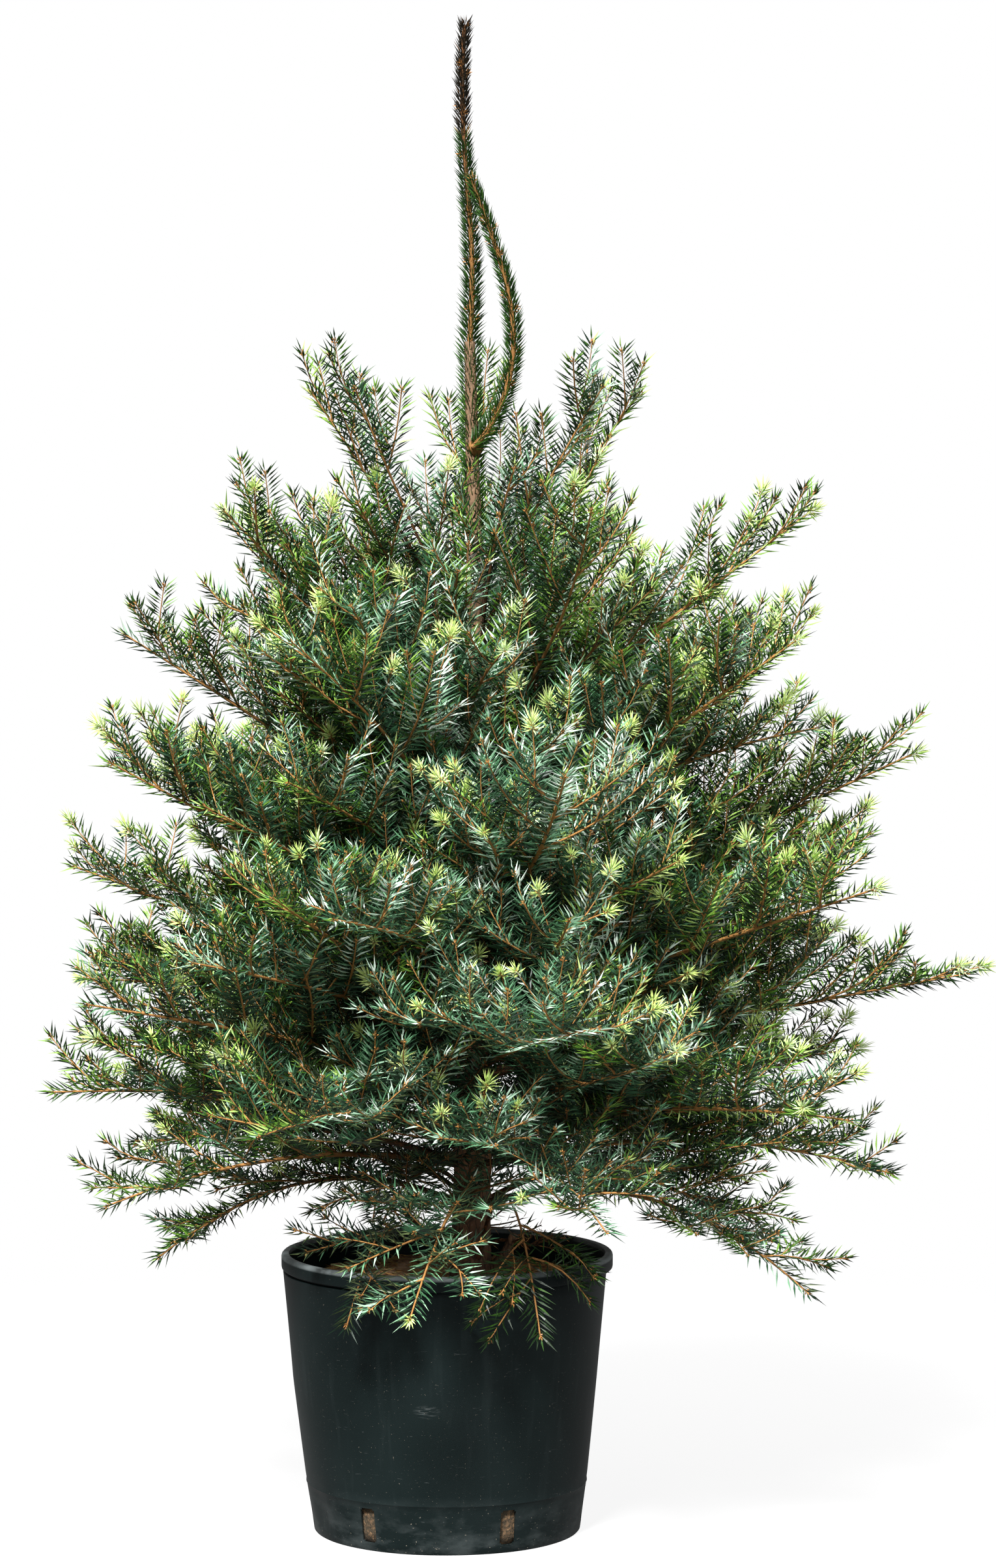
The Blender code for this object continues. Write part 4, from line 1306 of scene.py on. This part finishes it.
def make_twigs(limbs, kit):
    """Bare dead twigs low on the trunk, with thin side twigs and a few dry needles."""
    strands = Strands()
    nodes = []
    for limb in limbs:
        if limb["shoots"]:
            continue
        nodes.append(limb["name"])
        dice = random.Random(limb["name"])
        path = limb_path(limb["fitted"], limb["azimuth"], np.linspace(0.0, 1.0, 14))
        path = path + UP * 0.004 * np.sin(np.linspace(0.0, 9.0, 14))[:, None]
        strands.add(path, np.linspace(0.0024, 0.0011, 14), DRY, 0.012, 0.9, 0.10)
        for index in range(7):
            at = 3 + index
            along = path[at + 1] - path[at - 1]
            along /= np.linalg.norm(along)
            side = np.cross(along, UP) * (1 if index % 2 else -1)
            heading = along * 0.6 + side * 0.8 + UP * dice.uniform(-0.2, 0.5)
            heading /= np.linalg.norm(heading)
            branch = shoot_path(path[at], heading, dice.uniform(0.03, 0.07), dice.uniform(-0.3, 0.2), 6)
            if clear_of_pot(branch):
                strands.add(branch, np.linspace(0.0012, 0.0007, 6), DRY, 0.012, 0.9, 0.16)
    kit.wood(strands, "dead_twigs", 6, *nodes)
    kit.needles(strands, "dead_twig_needles", 0.0012, 0.0006, 0.03, 61)


# ---------------------------------------------------------------- pot, soil and litter


def turned(name, profile, steps, finish, closed=True):
    """A ring-shaped or solid body from a section of (radius, height) points; a zero radius is one pole."""
    mesh = bmesh.new()
    rings = []
    for radius, height in profile:
        if radius == 0.0:
            rings.append([mesh.verts.new((0.0, 0.0, height))] * steps)
            continue
        angles = [2.0 * math.pi * step / steps for step in range(steps)]
        rings.append([mesh.verts.new((radius * math.cos(a), radius * math.sin(a), height)) for a in angles])
    pairs = list(zip(rings, rings[1:] + rings[:1])) if closed else list(zip(rings[:-1], rings[1:]))
    for lower, upper in pairs:
        for step in range(steps):
            after = (step + 1) % steps
            corners = list(dict.fromkeys((lower[step], lower[after], upper[after], upper[step])))
            if len(corners) > 2:
                mesh.faces.new(corners)
    bmesh.ops.recalc_face_normals(mesh, faces=mesh.faces)
    return built(name, mesh, finish)


def pot_section():
    """The pot's wall, from the foot ring up the outside, over the rolled lip and down the inside."""
    foot = POT_FOOT_RADIUS
    outside = [(foot - FOOT_RING_WIDTH, 0.0), (foot - 0.0012, 0.0), (foot, 0.0014)]
    for height in np.linspace(0.010, POT_SHOULDER_HEIGHT - 0.001, 8):
        outside.append((wall_radius(height), height))
    outside.append((POT_SHOULDER_RADIUS + 0.0006, POT_SHOULDER_HEIGHT))
    outside.append((POT_SHOULDER_RADIUS + 0.0002, POT_SHOULDER_HEIGHT + 0.004))
    lip = POT_HEIGHT - RIM_LIP_HEIGHT
    for height in np.linspace(POT_SHOULDER_HEIGHT + 0.012, lip - 0.004, 22):
        outside.append((wall_radius(height), height))
    ledge = wall_radius(lip)
    band = RIM_RADIUS - 0.0040
    outside += [(ledge, lip - 0.0006), (band - 0.0016, lip - 0.0002), (band - 0.0004, lip + 0.0008),
                (band, lip + 0.0030), (band, POT_HEIGHT - 0.0040), (band - 0.0006, POT_HEIGHT - 0.0018),
                (band - 0.0020, POT_HEIGHT - 0.0004), (band - 0.0034, POT_HEIGHT),
                (POT_NECK_RADIUS, POT_HEIGHT), (POT_NECK_RADIUS - 0.0018, POT_HEIGHT - 0.0006),
                (POT_NECK_RADIUS - POT_WALL, POT_HEIGHT - 0.0026)]
    inside = [(wall_radius(height) - POT_WALL, height) for height in np.linspace(lip - 0.004, 0.012, 14)]
    inside += [(POT_FOOT_RADIUS - POT_WALL, FOOT_RING_HEIGHT + POT_WALL), (0.0, FOOT_RING_HEIGHT + POT_WALL)]
    under = [(0.0, FOOT_RING_HEIGHT), (POT_FOOT_RADIUS - FOOT_RING_WIDTH, FOOT_RING_HEIGHT)]
    return outside + inside, under


def rounded_cutter(name, width, height, depth, radius):
    """A block with rounded edges that stands on its sill, with its depth along +X."""
    mesh = bmesh.new()
    bmesh.ops.create_cube(mesh, size=1.0)
    for vert in mesh.verts:
        vert.co = Vector((vert.co.x * depth, vert.co.y * width, (vert.co.z + 0.5) * height))
    edges = [e for e in mesh.edges if abs(e.verts[0].co.x - e.verts[1].co.x) > 1e-6]
    bmesh.ops.bevel(mesh, geom=edges, offset=radius, segments=4, affect="EDGES")
    return built(name, mesh)


def make_pot(plastic):
    """The pot's wall with its slots, and its base with its holes."""
    profile, under = pot_section()
    pot = turned("pot_shell", profile + under, 180, plastic)
    cutters = []
    for index in range(SLOT_COUNT):
        cutter = rounded_cutter(f"slot_cutter_{index}", SLOT_WIDTH, SLOT_HEIGHT, CUTTER_DEPTH, SLOT_CORNER)
        turn = SLOT_TURN + 2.0 * math.pi * index / SLOT_COUNT
        cutter.data.transform(turned_to(turn, wall_radius(SLOT_SILL + SLOT_HEIGHT / 2), SLOT_SILL))
        cutters.append(cutter)
    for index in range(BASE_HOLE_COUNT):
        turn = 2.0 * math.pi * index / BASE_HOLE_COUNT
        mesh = bmesh.new()
        bmesh.ops.create_cone(mesh, cap_ends=True, segments=24, radius1=BASE_HOLE_RADIUS,
                              radius2=BASE_HOLE_RADIUS, depth=CUTTER_DEPTH)
        cutter = built(f"hole_cutter_{index}", mesh)
        cutter.data.transform(turned_to(turn, BASE_HOLE_CIRCLE, 0.0))
        cutters.append(cutter)
    for cutter in cutters:
        cut = pot.modifiers.new(cutter.name, "BOOLEAN")
        cut.object = cutter
        cut.solver = "EXACT"
    flatten(pot)
    for cutter in cutters:
        bpy.data.objects.remove(cutter)
    for vert in pot.data.vertices:
        vert.co += pot_wear(vert.co)
    smoothed(pot.data)
    pot.data.set_sharp_from_angle(angle=math.radians(38.0))
    settle(pot, "black_plastic", "nursery_pot")


def turned_to(turn, radius, height):
    """The place at this radius and height, turned round the pot's axis."""
    return Matrix.Rotation(turn, 4, "Z") @ Matrix.Translation((radius, 0.0, height))


def flatten(piece):
    """Makes the piece's evaluated shape its plain mesh."""
    graph = bpy.context.evaluated_depsgraph_get()
    mesh = bpy.data.meshes.new_from_object(piece.evaluated_get(graph), depsgraph=graph)
    piece.modifiers.clear()
    old = piece.data
    piece.data = mesh
    bpy.data.meshes.remove(old)
    mesh.name = piece.name


def pot_wear(place):
    """A used pot: a wall that is not quite round, and a knock low on its left."""
    radius = math.hypot(place.x, place.y)
    if radius < 0.1:
        return Vector((0.0, 0.0, 0.0))
    out = Vector((place.x / radius, place.y / radius, 0.0))
    sag = 0.0009 * noise.noise(Vector((out.x * 1.6, out.y * 1.6, place.z * 7.0)))
    if place.z < POT_HEIGHT - RIM_LIP_HEIGHT - 0.002:
        sag += (0.0015 + 0.0055 * max(0.0, -out.x)) * min(1.0, max(0.0, (place.z - 0.02) / 0.16))
    knock = (place - Vector((-0.146, -0.066, 0.036))).length / 0.024
    return out * (sag - 0.0032 * math.exp(-knock * knock))


def soil_section():
    """Up the wall's inner side, then over the top to the middle."""
    heights = np.linspace(FOOT_RING_HEIGHT + POT_WALL + 0.002, SOIL_TOP - 0.008, 26)
    inner = [(wall_radius(h) - POT_WALL - 0.0012, h) for h in heights]
    rings = [(r, SOIL_TOP - 0.004) for r in np.linspace(wall_radius(SOIL_TOP) - POT_WALL - 0.0015, 0.004, 46)]
    return [(0.0, inner[0][1])] + inner + rings + [(0.0, SOIL_TOP - 0.004)]


def make_soil(kit, soil, chip):
    """The soil with its lumps and the grooves on its buried side, the dead needles on it, and its chips."""
    ground = turned("soil_surface", soil_section(), 128, soil, closed=False)
    for vert in ground.data.vertices:
        radius = math.hypot(vert.co.x, vert.co.y)
        if vert.co.z > SOIL_TOP - 0.006:
            lumps = noise.noise(vert.co * 34.0) * 0.006 + noise.noise(vert.co * 110.0) * 0.003
            edge = max(0.0, (radius - 0.12) / 0.07)
            swell = noise.noise(Vector((vert.co.x * 9.0, vert.co.y * 9.0, 3.0)))
            vert.co.z += lumps + 0.004 - 0.008 * edge * swell
        elif radius > 0.1:
            inward = 1.0 - 0.012 * abs(noise.noise(vert.co * 160.0))
            vert.co.x *= inward
            vert.co.y *= inward
    smoothed(ground.data)
    settle(ground, "soil", "soil")
    litter = add_object("needle_litter", ground.data.copy())
    litter_growth().grow(litter, Needle=kit.shape, Density=16000.0, Reach=0.163, Seed=7,
                         Finish=kit.needle_finish)
    settle(litter, "needles")
    make_chips(chip)


def litter_growth():
    """Dead needles that lie on every upward face, in any direction."""
    tree = Growth("litter_on_soil", (
        ("Needle", "NodeSocketObject", None),
        ("Density", "NodeSocketFloat", 26000.0),
        ("Reach", "NodeSocketFloat", 0.160),
        ("Seed", "NodeSocketInt", 1),
        ("Finish", "NodeSocketMaterial", None),
    ))
    normal = tree.node("ShaderNodeSeparateXYZ", {0: tree.node("GeometryNodeInputNormal")})
    place = tree.node("ShaderNodeSeparateXYZ", {0: tree.node("GeometryNodeInputPosition")})
    middle = ((place["X"] ** 2.0 + place["Y"] ** 2.0) ** 0.5).math("LESS_THAN", tree["Reach"])
    upward = normal["Z"].math("GREATER_THAN", 0.6) * middle
    values = {"Mesh": tree["Geometry"], "Selection": upward, "Density": tree["Density"], "Seed": tree["Seed"]}
    points = tree.node("GeometryNodeDistributePointsOnFaces", values)
    lifted = tree.node("GeometryNodeSetPosition", {"Geometry": points, "Offset": (0.0, 0.0, 0.0012)})
    lean = tree.node("ShaderNodeCombineXYZ", {0: tree.chance(1.35, 1.62, 1), 2: tree.chance(0.0, 6.283, 2)})
    rotation = tree.node("FunctionNodeEulerToRotation", {0: lean})
    width = tree.chance(0.0008, 0.0012, 3)
    scale = tree.node("ShaderNodeCombineXYZ", {0: width, 1: width, 2: tree.chance(0.012, 0.026, 4)})
    shape = tree.node("GeometryNodeObjectInfo", {0: tree["Needle"]})["Geometry"]
    values = {"Points": lifted, "Instance": shape, "Rotation": rotation, "Scale": scale}
    needles = tree.node("GeometryNodeInstanceOnPoints", values)
    return tree.finish(tree.mapped(needles, tree.chance(DRY - 0.03, STRAW, 5)))


def make_chips(chip):
    """Flat flakes of bark: one in place of each modelled chip, and small ones between them."""
    dice = random.Random(31)
    spots = []
    for index in range(1, CHIP_COUNT + 1):
        low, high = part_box(f"bark_chip_{index}")
        centre = (Vector(low) + Vector(high)) / 2.0
        spots.append((centre, 0.015, 0.0075, math.atan2(centre.y, centre.x) + math.pi / 2.0))
    for _ in range(60):
        turn, radius = dice.uniform(0.0, 2.0 * math.pi), 0.175 * math.sqrt(dice.uniform(0.06, 1.0))
        centre = Vector((radius * math.cos(turn), radius * math.sin(turn), SOIL_TOP + 0.003))
        spots.append((centre, dice.uniform(0.004, 0.011), dice.uniform(0.002, 0.005), dice.uniform(0.0, 3.1)))
    mesh = bmesh.new()
    for centre, length, width, turn in spots:
        count = 9
        layers = []
        lean = Vector((dice.uniform(-0.25, 0.25), dice.uniform(-0.25, 0.25)))
        wobble = [dice.uniform(0.75, 1.15) for _ in range(count)]
        for height, grow in ((-0.0018, 0.92), (0.0, 1.0), (0.0018, 0.86)):
            ring = []
            for step in range(count):
                angle = 2.0 * math.pi * step / count
                x = length * wobble[step] * grow * math.cos(angle)
                y = width * wobble[(step + 3) % count] * grow * math.sin(angle)
                across, along = math.cos(turn), math.sin(turn)
                spot = Vector((x * across - y * along, x * along + y * across, height))
                spot.z += spot.x * lean.x + spot.y * lean.y
                ring.append(mesh.verts.new(centre + spot))
            layers.append(ring)
        for lower, upper in zip(layers[:-1], layers[1:]):
            for step in range(count):
                after = (step + 1) % count
                mesh.faces.new((lower[step], lower[after], upper[after], upper[step]))
        mesh.faces.new(layers[0])
        mesh.faces.new(layers[-1])
    bmesh.ops.recalc_face_normals(mesh, faces=mesh.faces)
    names = [f"bark_chip_{index}" for index in range(1, CHIP_COUNT + 1)]
    settle(built("bark_flakes", mesh, chip), "bark_chips", *names)


# ---------------------------------------------------------------- stage

FLOOR_RADIUS = 2.6
FLOOR_STEPS = 64
CAMERA_LENS = 107.3
CAMERA_SENSOR = 36.0
CAMERA_PLACE = (0.060, -5.5, 1.19)
CAMERA_DIP = 3.18

# Suns: name, where it stands as seen from the middle, its width in degrees, its power.
SUNS = (
    ("key", (-0.35, -1.05, 1.15), 10.0, 9.0),
    ("fill", (0.7, -1.0, 0.5), 50.0, 1.0),
)


def add_floor():
    """A pale floor that fades into the white surround."""
    mesh = bpy.data.meshes.new("floor")
    turns = [2 * math.pi * step / FLOOR_STEPS for step in range(FLOOR_STEPS)]
    ring = [(FLOOR_RADIUS * math.cos(turn), FLOOR_RADIUS * math.sin(turn), 0.0) for turn in turns]
    mesh.from_pydata(ring, [], [tuple(range(FLOOR_STEPS))])
    floor = add_object("floor", mesh)
    pale = Finish("pale_floor", Base_Color=(0.93, 0.93, 0.93, 1.0), Roughness=0.95, Specular_IOR_Level=0.0)
    place = pale.node("ShaderNodeSeparateXYZ", {0: pale.place()})
    away = (place["X"] ** 2.0 + place["Y"] ** 2.0) ** 0.5
    pale.use("Alpha", (1.0 - away.above(0.3, 1.9)) * 0.10)
    mesh.materials.append(pale.material)


def add_lights():
    """A white surround that gives a share of its light, a sun from the front left, and a weak wide one."""
    world = bpy.data.worlds.new("studio")
    bpy.context.scene.world = world
    world.use_nodes = True
    sky = Graph(world.node_tree)
    backdrop = world.node_tree.nodes["Background"]
    seen = sky.node("ShaderNodeLightPath")
    sky.feed(backdrop.inputs["Strength"], seen + (1.0 - seen) * SURROUND)
    backdrop.inputs["Color"].default_value = (1.0, 1.0, 1.0, 1.0)
    for name, place, angle, power in SUNS:
        data = bpy.data.lights.new(name, "SUN")
        data.angle = math.radians(angle)
        data.energy = power
        lamp = bpy.data.objects.new(name, data)
        lamp.rotation_euler = (-Vector(place)).to_track_quat("-Z", "Y").to_euler()
        bpy.context.scene.collection.objects.link(lamp)


def add_camera():
    """The camera in front, a little above the tree's middle and looking down by a few degrees."""
    data = bpy.data.cameras.new("camera")
    data.lens = CAMERA_LENS
    data.sensor_width = CAMERA_SENSOR
    camera = bpy.data.objects.new("camera", data)
    camera.location = CAMERA_PLACE
    camera.rotation_euler = (math.radians(90.0 - CAMERA_DIP), 0.0, 0.0)
    bpy.context.scene.collection.objects.link(camera)
    bpy.context.scene.camera = camera
    bpy.context.scene.view_settings.view_transform = "Standard"


def main():
    """Makes every piece, then the stage. The needle's shape is only a pattern, so it goes at the end."""
    kit = Kit()
    limbs = grow_crown(kit)
    dress_leaders(kit)
    make_trunk(kit, bark_finish())
    make_twigs(limbs, kit)
    make_pot(plastic_finish())
    make_soil(kit, soil_finish(), chip_finish())
    bpy.data.objects.remove(kit.shape)
    add_floor()
    add_lights()
    add_camera()


main()
